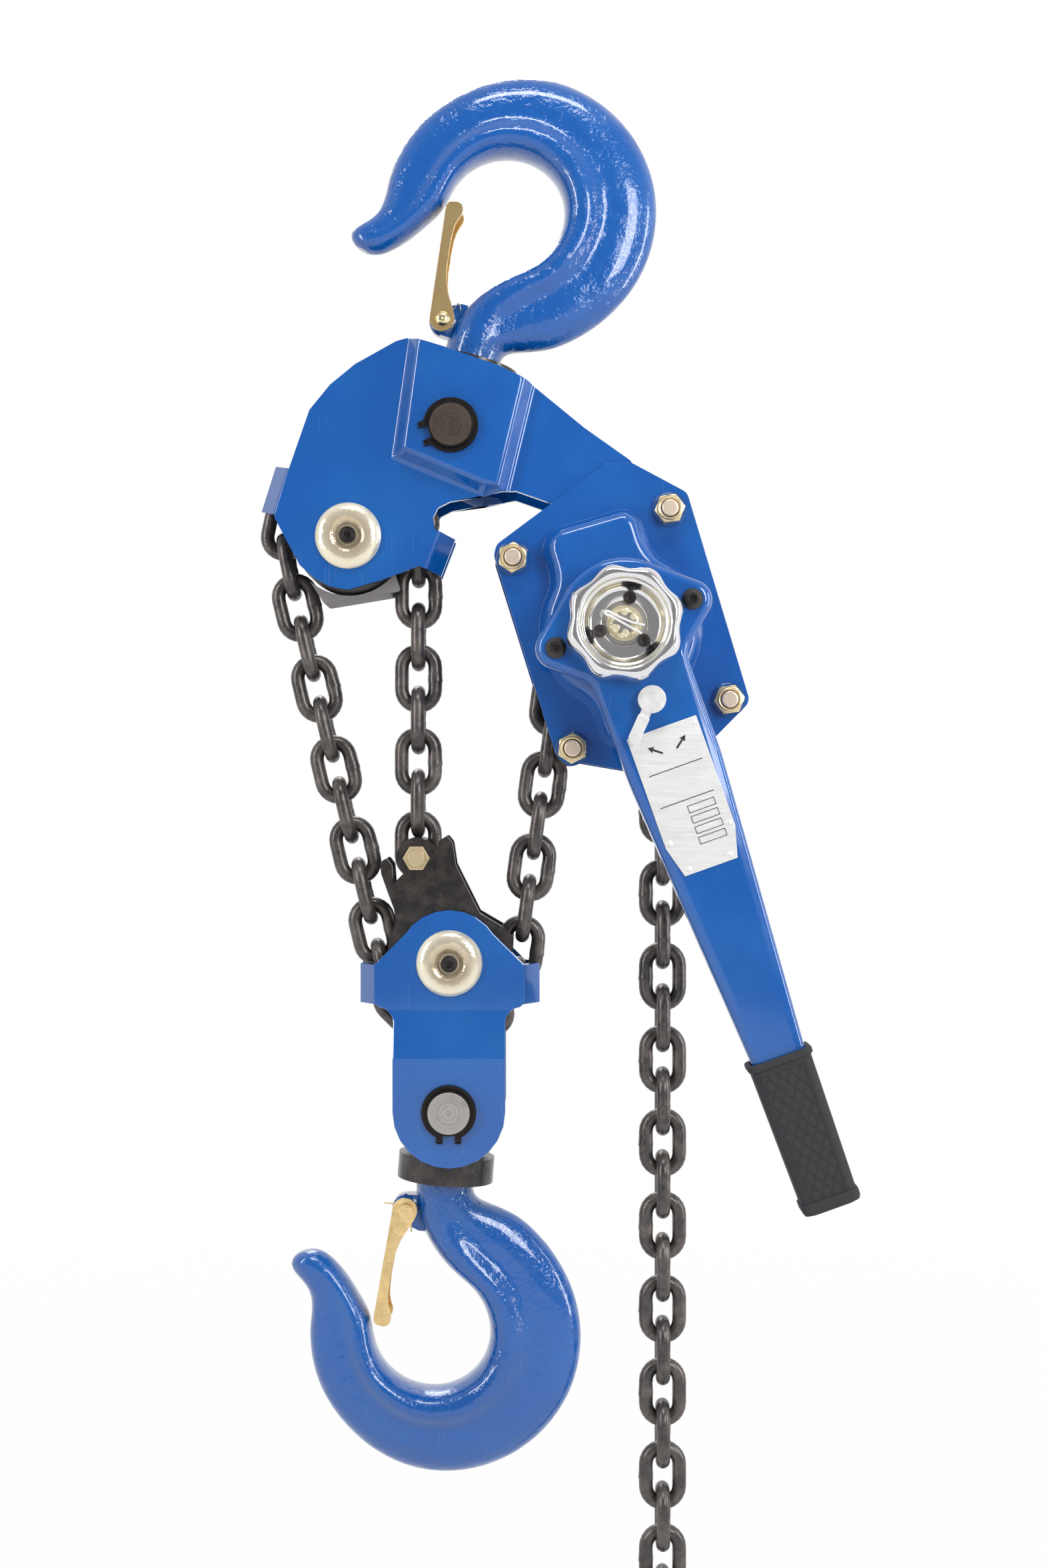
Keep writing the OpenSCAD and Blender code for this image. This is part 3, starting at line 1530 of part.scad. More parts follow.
// Forged anchor: two cheeks on the axle, with a horn on each side of the boss, that close in
// round the last link
anchor_boss_r = 14.5;
boss_offset = anchor_at - low_axle_at;
module anchor_outline() {
    circle(r = 20);
    translate(boss_offset) circle(r = anchor_boss_r);
    rounded(1.5) polygon([
        [-49.5, 71], [-45, 74.2], [-41, 69], [-40, 56], [-30, 66], [-10, 66], [-8, 86], [-2, 90],
        [2, 85], [4.4, 69], [12.9, 52], [21.4, 35], [38.4, 25], [45.5, 18], [45, 8], [20, -8],
        [-20, -8], [-43.8, 6], [-43.3, 15], [-38.1, 29], [-39.5, 38], [-44, 50], [-48.6, 63]
    ]);
}

module chain_anchor() {
    link_gap = wire_d / 2 + 0.6;
    color(black) at(low_axle_at) difference() {
        front_and_rear() {
            slab(anchor_in, gap_half - part_gap) anchor_outline();
            slab(link_gap, anchor_in + 0.1) translate(boss_offset) circle(r = anchor_boss_r);
        }
        rod(axle_d + 2 * pin_play, -100, 100);
        at(boss_offset) rod(anchor_bolt_d + 2 * run_play, -100, 100);
    }
}

module anchor_bolt() {
    face = gap_half - part_gap;
    color(zinc) at(anchor_at) {
        rod(anchor_bolt_d, -face - 8, face);
        rod(19, face, face + 7);
        difference() {
            slab(-face - 6, -face) circle(d = 19, $fn = 6);
            rod(anchor_bolt_d + 2 * run_play, -100, 0);
        }
    }
}

top_hook();
top_latch();
top_latch_pin();
top_latch_spring();
top_swivel_nut();
top_holder();
top_pin();
front_yoke_plate();
rear_yoke_plate();
stay_bolts();
body_nuts();
upper_idler();
upper_bearing();
upper_axle();
upper_axle_caps();
upper_cap_screws();
upper_chain_guide();
chain_stripper();
load_sheave();
sheave_bearings();
load_gear();
intermediate_gear_a();
intermediate_gear_b();
pinion_shaft();
gear_case();
disc_hub();
ratchet_disc();
friction_discs();
brake_pawl_a();
brake_pawl_b();
pawl_pins();
brake_cover();
change_gear();
lever_front_shell();
lever_rear_shell();
lever_screws();
selector();
grip();
name_plate();
hand_wheel();
wheel_screws();
castle_nut();
split_pin();
chain_falls();
chain_wraps();
load_wrap();
chain_tail();
chain_end_ring();
lower_plates();
lower_idler();
lower_axle();
lower_axle_caps();
chain_anchor();
anchor_bolt();
lower_pin();
lower_holder();
lower_hook();
lower_swivel_nut();
lower_latch();
lower_latch_spring();
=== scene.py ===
"""Finished surfaces of a three-fall ratchet lever hoist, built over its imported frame."""

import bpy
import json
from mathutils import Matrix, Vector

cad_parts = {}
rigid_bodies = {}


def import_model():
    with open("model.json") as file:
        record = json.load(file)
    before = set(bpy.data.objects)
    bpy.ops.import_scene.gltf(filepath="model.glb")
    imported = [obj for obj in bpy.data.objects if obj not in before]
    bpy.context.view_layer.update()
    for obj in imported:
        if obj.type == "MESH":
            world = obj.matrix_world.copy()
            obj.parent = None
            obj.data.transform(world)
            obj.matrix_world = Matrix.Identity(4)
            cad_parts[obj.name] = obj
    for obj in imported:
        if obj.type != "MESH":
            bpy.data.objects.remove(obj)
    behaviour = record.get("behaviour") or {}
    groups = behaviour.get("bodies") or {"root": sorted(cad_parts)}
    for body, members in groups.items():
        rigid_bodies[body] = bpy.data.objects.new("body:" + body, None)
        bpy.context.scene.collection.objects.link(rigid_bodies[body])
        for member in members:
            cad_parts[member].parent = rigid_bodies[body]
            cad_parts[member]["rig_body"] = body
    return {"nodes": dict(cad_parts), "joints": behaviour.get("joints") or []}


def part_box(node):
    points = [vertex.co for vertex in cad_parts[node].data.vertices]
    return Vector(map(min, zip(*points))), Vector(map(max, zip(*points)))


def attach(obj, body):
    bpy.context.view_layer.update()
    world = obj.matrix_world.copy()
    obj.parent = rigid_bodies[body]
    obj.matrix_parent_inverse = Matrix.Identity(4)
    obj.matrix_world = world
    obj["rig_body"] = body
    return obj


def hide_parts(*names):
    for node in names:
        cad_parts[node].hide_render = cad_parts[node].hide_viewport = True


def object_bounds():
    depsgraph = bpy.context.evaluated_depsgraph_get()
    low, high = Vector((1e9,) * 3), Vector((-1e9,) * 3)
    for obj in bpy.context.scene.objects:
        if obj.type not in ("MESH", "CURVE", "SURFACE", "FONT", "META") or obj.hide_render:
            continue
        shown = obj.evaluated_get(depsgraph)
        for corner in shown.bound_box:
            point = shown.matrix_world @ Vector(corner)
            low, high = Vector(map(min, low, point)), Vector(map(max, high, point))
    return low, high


bl_info = {
    "name": "Lever hoist finisher",
    "version": (1, 0, 0),
    "blender": (4, 5, 0),
    "location": "View3D > Sidebar > Lever hoist",
    "description": "Paint, plating, chain links and moulded details of a lever hoist",
    "category": "Object",
}

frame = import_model()

import json
import math
from functools import partial

import bmesh
import bpy
import numpy as np
from mathutils import Matrix, Vector

NODES = frame["nodes"]
PLACES = {joint["name"]: joint.get("pos_m") for joint in frame["joints"]}
CAD_BOX = [list(corner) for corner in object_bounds()]
MM = 0.001
TO_MM = Matrix.Scale(1 / MM, 4)

# Places of the main shafts, from the joints
TOP_PIN, HUB, UPPER_IDLER, LOWER_IDLER, LOWER_PIN = (
    Vector(PLACES[name])
    for name in ("top pin", "lever", "upper idler", "lower idler", "load hook pin"))

# Leans about Y in degrees, clockwise from the front
TOP_LEAN = 14.05
LOWER_LEAN = 4.3
BODY_LEAN = -17.3
LEVER_LEAN = -19.7


# ---------------------------------------------------------------- sizes and colours
class HoistPaint(bpy.types.PropertyGroup):
    enamel: bpy.props.FloatVectorProperty(
        name="Enamel", description="Blue of the gloss enamel", subtype="COLOR", size=3,
        min=0, max=1, default=(0.001, 0.103, 0.43))
    # Painted sheen: a pale blue mixed into the enamel in cloudy patches
    painted_sheen: bpy.props.FloatVectorProperty(
        name="Haze", description="Pale bloom on the enamel", subtype="COLOR", size=3,
        min=0, max=1, default=(0.02, 0.25, 0.66))
    gloss: bpy.props.FloatProperty(
        name="Roughness", description="Roughness of the enamel", subtype="FACTOR",
        min=0.02, max=1, default=0.15)
    edge_round: bpy.props.FloatProperty(
        name="Edge radius", description="How far paint rounds a sheet's edge",
        subtype="DISTANCE", min=0.0002, max=0.002, default=0.0009)
    scratches: bpy.props.FloatProperty(
        name="Scratches", description="Strength of the fine scratches", subtype="FACTOR",
        min=0, max=1, default=0.35)


class HoistMetals(bpy.types.PropertyGroup):
    zinc: bpy.props.FloatVectorProperty(
        name="Yellow zinc", description="Passivated zinc plating", subtype="COLOR", size=3,
        min=0, max=1, default=(0.82, 0.68, 0.40))
    oxide: bpy.props.FloatVectorProperty(
        name="Black oxide", description="Blackened steel", subtype="COLOR", size=3,
        min=0, max=1, default=(0.035, 0.032, 0.031))
    steel: bpy.props.FloatVectorProperty(
        name="Machined steel", description="Bare turned steel", subtype="COLOR", size=3,
        min=0, max=1, default=(0.52, 0.50, 0.48))
    chrome: bpy.props.FloatVectorProperty(
        name="Chrome", description="Plating of the hand wheel", subtype="COLOR", size=3,
        min=0, max=1, default=(0.64, 0.60, 0.58))


class HoistChain(bpy.types.PropertyGroup):
    wire: bpy.props.FloatProperty(
        name="Wire", description="Wire diameter of a link", subtype="DISTANCE",
        min=0.008, max=0.012, default=0.010)
    pitch: bpy.props.FloatProperty(
        name="Pitch", description="Inside length of a link", subtype="DISTANCE",
        min=0.028, max=0.032, default=0.030)
    width: bpy.props.FloatProperty(
        name="Width", description="Outside width of a link", subtype="DISTANCE",
        min=0.032, max=0.036, default=0.034)
    weld: bpy.props.FloatProperty(
        name="Weld", description="Height of the weld's ridge", subtype="DISTANCE",
        min=0, max=0.001, default=0.0005)


class HoistGrip(bpy.types.PropertyGroup):
    rib: bpy.props.FloatProperty(
        name="Rib", description="Thickness of a moulded rib", subtype="DISTANCE",
        min=0.0003, max=0.002, default=0.0008)
    spacing: bpy.props.FloatProperty(
        name="Spacing", description="Distance between ribs", subtype="DISTANCE",
        min=0.003, max=0.012, default=0.0065)
    rubber: bpy.props.FloatVectorProperty(
        name="Rubber", description="Colour of the grip", subtype="COLOR", size=3,
        min=0, max=1, default=(0.19, 0.18, 0.187))


class HoistStage(bpy.types.PropertyGroup):
    key: bpy.props.FloatProperty(
        name="Key light", description="Power of the main soft box in watts",
        min=0, max=200, default=17)
    fill: bpy.props.FloatProperty(
        name="Fill light", description="Power of each strip light in watts",
        min=0, max=200, default=14)
    ambient: bpy.props.FloatProperty(
        name="Ambient", description="Level of the light from all round",
        min=0, max=2, default=0.21)
    room: bpy.props.FloatProperty(
        name="Room", description="How bright the room in front looks in gloss and metal",
        min=0, max=1, default=0.28)


def props(name):
    return getattr(bpy.context.scene, name)


# ---------------------------------------------------------------- shader helpers
def add(tree, kind, settings=None, **sockets):
    """A shader node; a socket's value is a constant or the output that feeds it."""
    made = tree.nodes.new(kind)
    for key, value in (settings or {}).items():
        setattr(made, key, value)
    for key, value in sockets.items():
        numbered = key[0] == "i" and key[1:].isdigit()
        socket = made.inputs[int(key[1:]) if numbered else key.replace("_", " ")]
        if isinstance(value, bpy.types.NodeSocket):
            tree.links.new(value, socket)
        else:
            socket.default_value = value
    return made


def blank_finish(name, **constants):
    """A Principled material with fixed values on its own sockets."""
    made = bpy.data.materials.new(name)
    made.use_nodes = True
    shader = made.node_tree.nodes["Principled BSDF"]
    for key, value in constants.items():
        shader.inputs[key.replace("_", " ")].default_value = value
    return made, made.node_tree


def surface(made, colour, rough, normal=None):
    """Feeds a material's colour, roughness and normal."""
    shader = made.node_tree.nodes["Principled BSDF"]
    for key, value in (("Base Color", colour), ("Roughness", rough), ("Normal", normal)):
        if value is not None:
            made.node_tree.links.new(value, shader.inputs[key])
    return made


def place_of(tree, centre=(0, 0, 0), turn=0, scale=(1, 1, 1)):
    """Object coordinates, centred and turned about Y."""
    coords = add(tree, "ShaderNodeTexCoord").outputs["Object"]
    moved = add(tree, "ShaderNodeVectorMath", {"operation": "SUBTRACT"}, i0=coords,
                i1=tuple(centre))
    return add(tree, "ShaderNodeMapping", {"vector_type": "POINT"}, Vector=moved.outputs[0],
               Rotation=(0, math.radians(turn), 0), Scale=scale).outputs[0]


def noise(tree, vector, scale, detail=3, rough=0.55):
    return add(tree, "ShaderNodeTexNoise", Vector=vector, Scale=scale, Detail=detail,
               Roughness=rough).outputs["Fac"]


def ring_noise(tree, radius, scale, detail=2):
    """Noise that changes with the radius alone, as turning marks do."""
    return add(tree, "ShaderNodeTexNoise", {"noise_dimensions": "1D"}, W=radius,
               Scale=scale, Detail=detail).outputs["Fac"]


def ramp(tree, value, low, high, out_low=0.0, out_high=1.0):
    return add(tree, "ShaderNodeMapRange", {"clamp": True}, i0=value, i1=low, i2=high,
               i3=out_low, i4=out_high).outputs[0]


def blend_colour(tree, factor, first, second):
    made = tree.nodes.new("ShaderNodeMix")
    made.data_type = "RGBA"
    for index, value in ((0, factor), (6, first), (7, second)):
        if isinstance(value, bpy.types.NodeSocket):
            tree.links.new(value, made.inputs[index])
        else:
            whole = index > 0 and len(value) == 3
            made.inputs[index].default_value = (*value, 1) if whole else value
    return made.outputs[2]


def arithmetic(tree, operation, first, second):
    return add(tree, "ShaderNodeMath", {"operation": operation}, i0=first, i1=second).outputs[0]


def times(tree, first, second):
    return arithmetic(tree, "MULTIPLY", first, second)


def shade(colour, share):
    return tuple(c * share for c in colour)


def bump(tree, height, distance, strength=1.0, under=None):
    made = add(tree, "ShaderNodeBump", Height=height, Distance=distance, Strength=strength)
    if under is not None:
        tree.links.new(under, made.inputs["Normal"])
    return made.outputs[0]


def relief(tree, place, *layers):
    """Layers of noise pressed into the surface: scale, detail, roughness, depth, strength."""
    normal = None
    for scale, detail, rough, depth, strength in layers:
        normal = bump(tree, noise(tree, place, scale, detail, rough), depth, strength, normal)
    return normal


def radius_from(tree, centre):
    """Distance from an axis along Y through a centre."""
    vector = place_of(tree, centre, scale=(1, 0, 1))
    return add(tree, "ShaderNodeVectorMath", {"operation": "LENGTH"}, i0=vector).outputs["Value"]


# ---------------------------------------------------------------- finishes
def enamel(name, forged=False, chips_and_glints=False):
    """Gloss enamel: painted sheen and shade in patches, fine scratches and the surface under it."""
    paint = props("hoist_paint")
    made, tree = blank_finish(name, Coat_Weight=0.8, Coat_Roughness=0.05, IOR=1.5)
    place = place_of(tree)
    clouds = noise(tree, place, 14, 4, 0.6)
    # Painted sheen: cloudy patches of paler blue over the enamel
    painted_sheen = times(tree, ramp(tree, clouds, 0.45, 0.80), 0.16 if forged else 0.24)
    colour = blend_colour(tree, painted_sheen, tuple(paint.enamel), tuple(paint.painted_sheen))
    # Painted shade: random patches darkened toward a deeper blue
    painted_shade = ramp(tree, noise(tree, place, 5, 2), 0.35, 0.7, 0.0, 0.35)
    colour = blend_colour(tree, painted_shade, colour, shade(paint.enamel, 0.62))
    # Scratches run two ways and show only here and there
    ways = [place_of(tree, turn=turn, scale=(1, 1, 0.035)) for turn in (28, -47)]
    lines = [ramp(tree, noise(tree, way, 950, 1, 0.4), 0.715, 0.735) for way in ways]
    gate = ramp(tree, noise(tree, place, 11, 2), 0.5, 0.62)
    marks = times(tree, times(tree, arithmetic(tree, "MAXIMUM", *lines), gate),
                  paint.scratches * (0.2 if forged else 0.4))
    colour = blend_colour(tree, marks, colour, (0.36, 0.50, 0.80))
    if chips_and_glints:
        chips = ramp(tree, noise(tree, place, 130, 4, 0.7), 0.605, 0.635)
        colour = blend_colour(tree, times(tree, chips, 0.85), colour, (0.50, 0.56, 0.66))
        # Painted glints: random lighter blue patches on the rounded edges
        painted_glint = ramp(tree, noise(tree, place, 34, 2), 0.45, 0.62, 0, 0.45)
        colour = blend_colour(tree, painted_glint, colour, (0.10, 0.26, 0.72))
    # A forging has orange peel, a grain and lumps, a sheet only a slight wave
    under = [(420, 2, 0.5, 0.00022, 0.6), (105, 3, 0.55, 0.0020, 0.75), (30, 2, 0.5, 0.0042, 0.7)]
    if not forged:
        under = [(24, 2, 0.5, 0.0009, 0.3)]
    return surface(made, colour,
                   ramp(tree, clouds, 0.3, 0.75, paint.gloss * 0.75, paint.gloss * 1.8),
                   relief(tree, place, (160, 3, 0.6, 0.00006, 0.5), *under))


def plating(name, colour, rough=0.25, grain=220, depth=0.00012, tint=(0.80, 0.55, 0.45),
            centre=None, metal=1.0, mottle=0.35):
    """Plated metal with a stained tint; turned rings round a centre where one is given."""
    made, tree = blank_finish(name, Metallic=metal)
    place = place_of(tree)
    stain = noise(tree, place, 60, 4, 0.65)
    base = blend_colour(tree, ramp(tree, stain, 0.4, 0.75, 0, mottle), tuple(colour), tint)
    dull = ramp(tree, noise(tree, place, 25, 2), 0.5, 0.8, 0, 0.3)
    base = blend_colour(tree, dull, base, shade(colour, 0.6))
    normal = relief(tree, place, (grain, 3, 0.6, depth, 0.5))
    if centre is not None:
        radius = radius_from(tree, centre)
        # Darker and more golden toward the centre, paler toward the rim
        rubbed = ramp(tree, radius, 0.012, 0.020, 0.85, 0)
        base = blend_colour(tree, rubbed, base, shade(tint, 0.72))
        normal = bump(tree, ring_noise(tree, radius, 1500), 0.00008, 0.5, normal)
    return surface(made, base, ramp(tree, stain, 0.25, 0.8, rough * 0.7, rough * 1.5), normal)


def black_oxide(name, rough=0.36, lumps=0.0004, metal=0.75, lift=1.0):
    """Blackened steel with soft highlights and a brownish bloom."""
    made, tree = blank_finish(name, Metallic=metal, Specular_IOR_Level=0.6)
    place = place_of(tree)
    bloom = noise(tree, place, 90, 4, 0.65)
    brown = (0.115, 0.098, 0.090)
    base = blend_colour(tree, ramp(tree, bloom, 0.4, 0.75, 0, 0.7),
                        shade(props("hoist_metals").oxide, lift), shade(brown, lift))
    rubbed = ramp(tree, noise(tree, place, 420, 3, 0.7), 0.66, 0.74, 0, 0.5)
    base = blend_colour(tree, rubbed, base, (0.30, 0.28, 0.27))
    return surface(made, base, ramp(tree, bloom, 0.3, 0.75, rough * 0.8, rough * 1.35),
                   relief(tree, place, (900, 3, 0.7, 0.00012, 0.5), (130, 3, 0.6, lumps, 0.5)))


def turned_pin(name, centre, face):
    """A pin's face with turning marks, inside a blackened retaining ring."""
    face_radius, blur, rough = 0.0147, 0.0001, 0.36
    made, tree = blank_finish(name, Metallic=1.0)
    radius = radius_from(tree, centre)
    rings = ring_noise(tree, radius, 900, 3)
    stain = noise(tree, place_of(tree), 70, 4, 0.7)
    colour = blend_colour(tree, ramp(tree, rings, 0.4, 0.7, 0, 0.7), face, shade(face, 0.45))
    colour = blend_colour(tree, ramp(tree, stain, 0.5, 0.75, 0, 0.6), colour, shade(face, 0.4))
    outside = ramp(tree, radius, face_radius - blur, face_radius + blur)
    colour = blend_colour(tree, outside, colour, tuple(props("hoist_metals").oxide))
    return surface(made, colour, ramp(tree, stain, 0.3, 0.8, rough * 0.8, rough * 1.4),
                   bump(tree, rings, 0.00018, 0.6))


def moulded_rubber(name):
    """Matt rubber with a pale bloom and a fine moulded grain."""
    made, tree = blank_finish(name, Specular_IOR_Level=0.45)
    place = place_of(tree)
    clouds = noise(tree, place, 30, 4, 0.6)
    colour = blend_colour(tree, ramp(tree, clouds, 0.4, 0.75, 0, 0.6),
                          tuple(props("hoist_grip").rubber), (0.115, 0.112, 0.115))
    return surface(made, colour, ramp(tree, clouds, 0.3, 0.8, 0.38, 0.60),
                   relief(tree, place, (1400, 2, 0.6, 0.00006, 0.5), (60, 3, 0.5, 0.0005, 0.4)))


def cast_metal(name, colour, rough=0.5, metal=1.0, grain=260):
    """Cast metal with pits and darker stains."""
    made, tree = blank_finish(name, Metallic=metal)
    place = place_of(tree)
    pits = noise(tree, place, grain, 4, 0.7)
    stain = ramp(tree, noise(tree, place, 45, 3, 0.6), 0.4, 0.75, 0, 0.6)
    return surface(made, blend_colour(tree, stain, colour, shade(colour, 0.65)),
                   ramp(tree, pits, 0.3, 0.8, rough * 0.8, rough * 1.3),
                   bump(tree, pits, 0.0003, 0.6))


def brushed_plate(name):
    """Aluminium sheet with fine lines across the lever."""
    made, tree = blank_finish(name, Metallic=0.45, Anisotropic=0.35)
    lines = noise(tree, place_of(tree, HUB, LEVER_LEAN, (0.02, 1, 1)), 2600, 2, 0.6)
    stain = ramp(tree, noise(tree, place_of(tree), 40, 3, 0.6), 0.5, 0.8, 0, 0.3)
    colour = blend_colour(tree, ramp(tree, lines, 0.35, 0.7), (0.78, 0.78, 0.77),
                          (0.88, 0.88, 0.87))
    return surface(made, blend_colour(tree, stain, colour, (0.62, 0.62, 0.60)),
                   ramp(tree, lines, 0.3, 0.7, 0.30, 0.46), bump(tree, lines, 0.00006, 0.5))


def chrome_wheel(name):
    """Bright chrome outside with painted dark reflections in patches, brushed rings on the recess
    floor.
    """
    made, tree = blank_finish(name, Metallic=1.0)
    radius = radius_from(tree, HUB)
    place = place_of(tree)
    inside = ramp(tree, radius, 0.0225, 0.0235, 1, 0)
    mottle = noise(tree, place, 75, 4, 0.6)
    # Painted reflections: the mottle darkens the chrome toward brown in patches; it also varies
    # roughness and bump
    colour = blend_colour(tree, ramp(tree, mottle, 0.33, 0.62, 0.25, 0.9),
                          tuple(props("hoist_metals").chrome), (0.36, 0.29, 0.275))
    stain = times(tree, ramp(tree, noise(tree, place, 38, 3, 0.6), 0.35, 0.7, 0.2, 0.9), inside)
    colour = blend_colour(tree, stain, colour, (0.50, 0.44, 0.41))
    rough = arithmetic(tree, "ADD", ramp(tree, mottle, 0.3, 0.8, 0.06, 0.20),
                       times(tree, inside, 0.16))
    lines = times(tree, ring_noise(tree, radius, 1400), inside)
    normal = bump(tree, lines, 0.0002, 0.5, bump(tree, mottle, 0.0012, 0.45))
    return surface(made, colour, rough, normal)


def plain_ink(name):
    """Printed black, slightly uneven."""
    made, tree = blank_finish(name)
    place = place_of(tree)
    patchy = ramp(tree, noise(tree, place, 900, 2), 0.4, 0.7, 0, 0.5)
    return surface(made, blend_colour(tree, patchy, (0.015, 0.015, 0.017), (0.06, 0.06, 0.06)),
                   ramp(tree, noise(tree, place, 300, 2), 0.3, 0.7, 0.4, 0.6))


def recipes():
    """The maker of each finish, with its own settings."""
    metals = props("hoist_metals")
    cap = partial(plating, colour=(0.96, 0.90, 0.72), rough=0.18, tint=(0.80, 0.64, 0.42),
                  metal=0.5)
    return {
        "forged enamel": partial(enamel, forged=True),
        "sheet enamel": enamel,
        "edge enamel": partial(enamel, chips_and_glints=True),
        "zinc": partial(plating, colour=tuple(metals.zinc), rough=0.22, metal=0.6),
        "upper cap zinc": partial(cap, centre=UPPER_IDLER),
        "lower cap zinc": partial(cap, centre=LOWER_IDLER),
        "latch zinc": partial(plating, colour=(0.92, 0.68, 0.33), rough=0.24, grain=60,
                              depth=0.0012, tint=(0.30, 0.17, 0.06), metal=0.9, mottle=0.5),
        "rivet zinc": partial(plating, colour=(0.86, 0.74, 0.42), rough=0.2, grain=130,
                              depth=0.0009, tint=(0.16, 0.10, 0.05)),
        "bolt zinc": partial(plating, colour=(0.86, 0.72, 0.56), rough=0.28,
                             tint=(0.66, 0.44, 0.36), metal=0.5),
        "crown zinc": partial(plating, colour=(0.93, 0.86, 0.62), rough=0.2,
                              tint=(0.66, 0.50, 0.26), metal=0.5),
        "turned steel": partial(plating, colour=tuple(metals.steel), rough=0.3,
                                tint=(0.34, 0.31, 0.28)),
        "forged oxide": partial(black_oxide, rough=0.2, lumps=0.0005, metal=0.5),
        "chain oxide": partial(black_oxide, rough=0.30, lumps=0.0005, metal=0.6, lift=2.0),
        "socket black": partial(black_oxide, rough=0.27, lumps=0.0002, metal=0.6),
        "top pin steel": partial(turned_pin, centre=TOP_PIN, face=(0.17, 0.135, 0.115)),
        "lower pin steel": partial(turned_pin, centre=LOWER_PIN, face=(0.60, 0.57, 0.54)),
        "chrome": chrome_wheel,
        "cast zinc": partial(cast_metal, colour=(0.90, 0.89, 0.88), rough=0.34, metal=0.4),
        "cast iron": partial(cast_metal, colour=(0.13, 0.125, 0.115), rough=0.42, metal=0.6),
        "lining": partial(cast_metal, colour=(0.16, 0.11, 0.08), rough=0.8, metal=0.0, grain=500),
        "plate": brushed_plate,
        "rubber": moulded_rubber,
        "ink": plain_ink,
    }


def finish(key):
    """The material of a name, made at its first use."""
    return bpy.data.materials.get(key) or recipes()[key](key)


# ---------------------------------------------------------------- mesh helpers
def body_of(node):
    return NODES[node]["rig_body"]


def put_in_scene(name, mesh):
    made = bpy.data.objects.new(name, mesh)
    bpy.context.scene.collection.objects.link(made)
    return made


def bake(piece):
    """Turns a piece's modifiers into a plain mesh."""
    bpy.context.view_layer.update()
    seen = piece.evaluated_get(bpy.context.evaluated_depsgraph_get())
    mesh = bpy.data.meshes.new_from_object(seen)
    piece.modifiers.clear()
    old = piece.data
    piece.data = mesh
    if old.users == 0:
        bpy.data.meshes.remove(old)
    mesh.name = piece.name
    return piece


def hand_over(piece, body, slot, *replaced):
    """Makes a finished piece ride on its body and stand for the nodes it replaces."""
    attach(piece, body)
    if replaced:
        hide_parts(*replaced)
    return piece


def mesh_of(bm, name):
    """Turns a bmesh into a mesh and frees it."""
    mesh = bpy.data.meshes.new(name)
    bm.to_mesh(mesh)
    bm.free()
    return mesh


def join_rings(bm, rings, closed=False):
    """Quads between rings of one length, and from the last back to the first where closed."""
    for first, second in zip(rings, rings[1:] + rings[:1] if closed else rings[1:]):
        for i in range(len(first)):
            j = (i + 1) % len(first)
            bm.faces.new((first[i], first[j], second[j], second[i]))


def bevel_edges(bm, keep, offset, segments, clamp=True, material=0):
    """Bevels the edges between two faces that a test keeps."""
    edges = [e for e in bm.edges if len(e.link_faces) == 2 and keep(e)]
    bmesh.ops.bevel(bm, geom=edges, offset=offset, offset_type="OFFSET", segments=segments,
                    profile=0.5, affect="EDGES", clamp_overlap=clamp, material=material)


# Metres: points this close are one, edges this short go. Square metres: faces above stay flat
WELD = 2e-6
SPECK = 1.2e-4
FLAT_FACE = 1.5e-4


def dressed(node, material, slot, edge=None, round_off=0.0004, angle=34, steps=2, fold=0, corner=0,
            crisp=48, level=False):
    """A welded copy of a node with sharp edges rounded and the folds of a sheet pressed soft."""
    bm = bmesh.new()
    bm.from_mesh(NODES[node].data)
    bmesh.ops.remove_doubles(bm, verts=bm.verts, dist=WELD)
    bmesh.ops.dissolve_degenerate(bm, dist=SPECK, edges=bm.edges)
    bmesh.ops.dissolve_limit(bm, angle_limit=math.radians(0.8), verts=bm.verts, edges=bm.edges)
    if fold:
        # Folds of the outer face alone, of 8 to 65 degrees and long enough to be rolled
        bevel_edges(bm, lambda e: (
            e.calc_length() > 3 * fold
            and min(f.normal.y * math.copysign(1, e.verts[0].co.y) for f in e.link_faces) > 0.45
            and math.radians(8) < e.calc_face_angle(0) < math.radians(65)), fold, 6, clamp=False)
    if corner:
        # Bends that run through the sheet's thickness
        bevel_edges(bm, lambda e: (
            e.calc_face_angle(0) > math.radians(25)
            and max(abs(f.normal.y) for f in e.link_faces) < 0.3), corner, 4)
    if round_off > 0:
        bevel_edges(bm, lambda e: e.calc_face_angle(0) > math.radians(angle), round_off, steps,
                    material=1 if edge else -1)
    mesh = mesh_of(bm, node + "_finished")
    mesh.materials.clear()
    for key in (material, edge) if edge else (material,):
        mesh.materials.append(finish(key))
    mesh.shade_smooth()
    mesh.set_sharp_from_angle(angle=math.radians(crisp if round_off > 0 else 32))
    if level:
        for face in mesh.polygons:
            face.use_smooth = face.area < FLAT_FACE
    piece = put_in_scene(mesh.name, mesh)
    piece.modifiers.new("weights", "WEIGHTED_NORMAL").keep_sharp = True
    return hand_over(bake(piece), body_of(node), slot, node)


def paint_node(node, key):
    """Gives a node that keeps its own mesh its finish."""
    mesh = NODES[node].data
    if not mesh.materials:
        mesh.materials.append(finish(key))
    for index in range(len(mesh.materials)):
        mesh.materials[index] = finish(key)


def pose(centre, lean, flip=False):
    """Matrix of a part's own frame in millimetres, turned about Y."""
    made = Matrix.Translation(centre) @ Matrix.Rotation(math.radians(lean), 4, "Y")
    if flip:
        made = made @ Matrix.Diagonal((1, 1, -1, 1))
    return made @ Matrix.Scale(MM, 4)


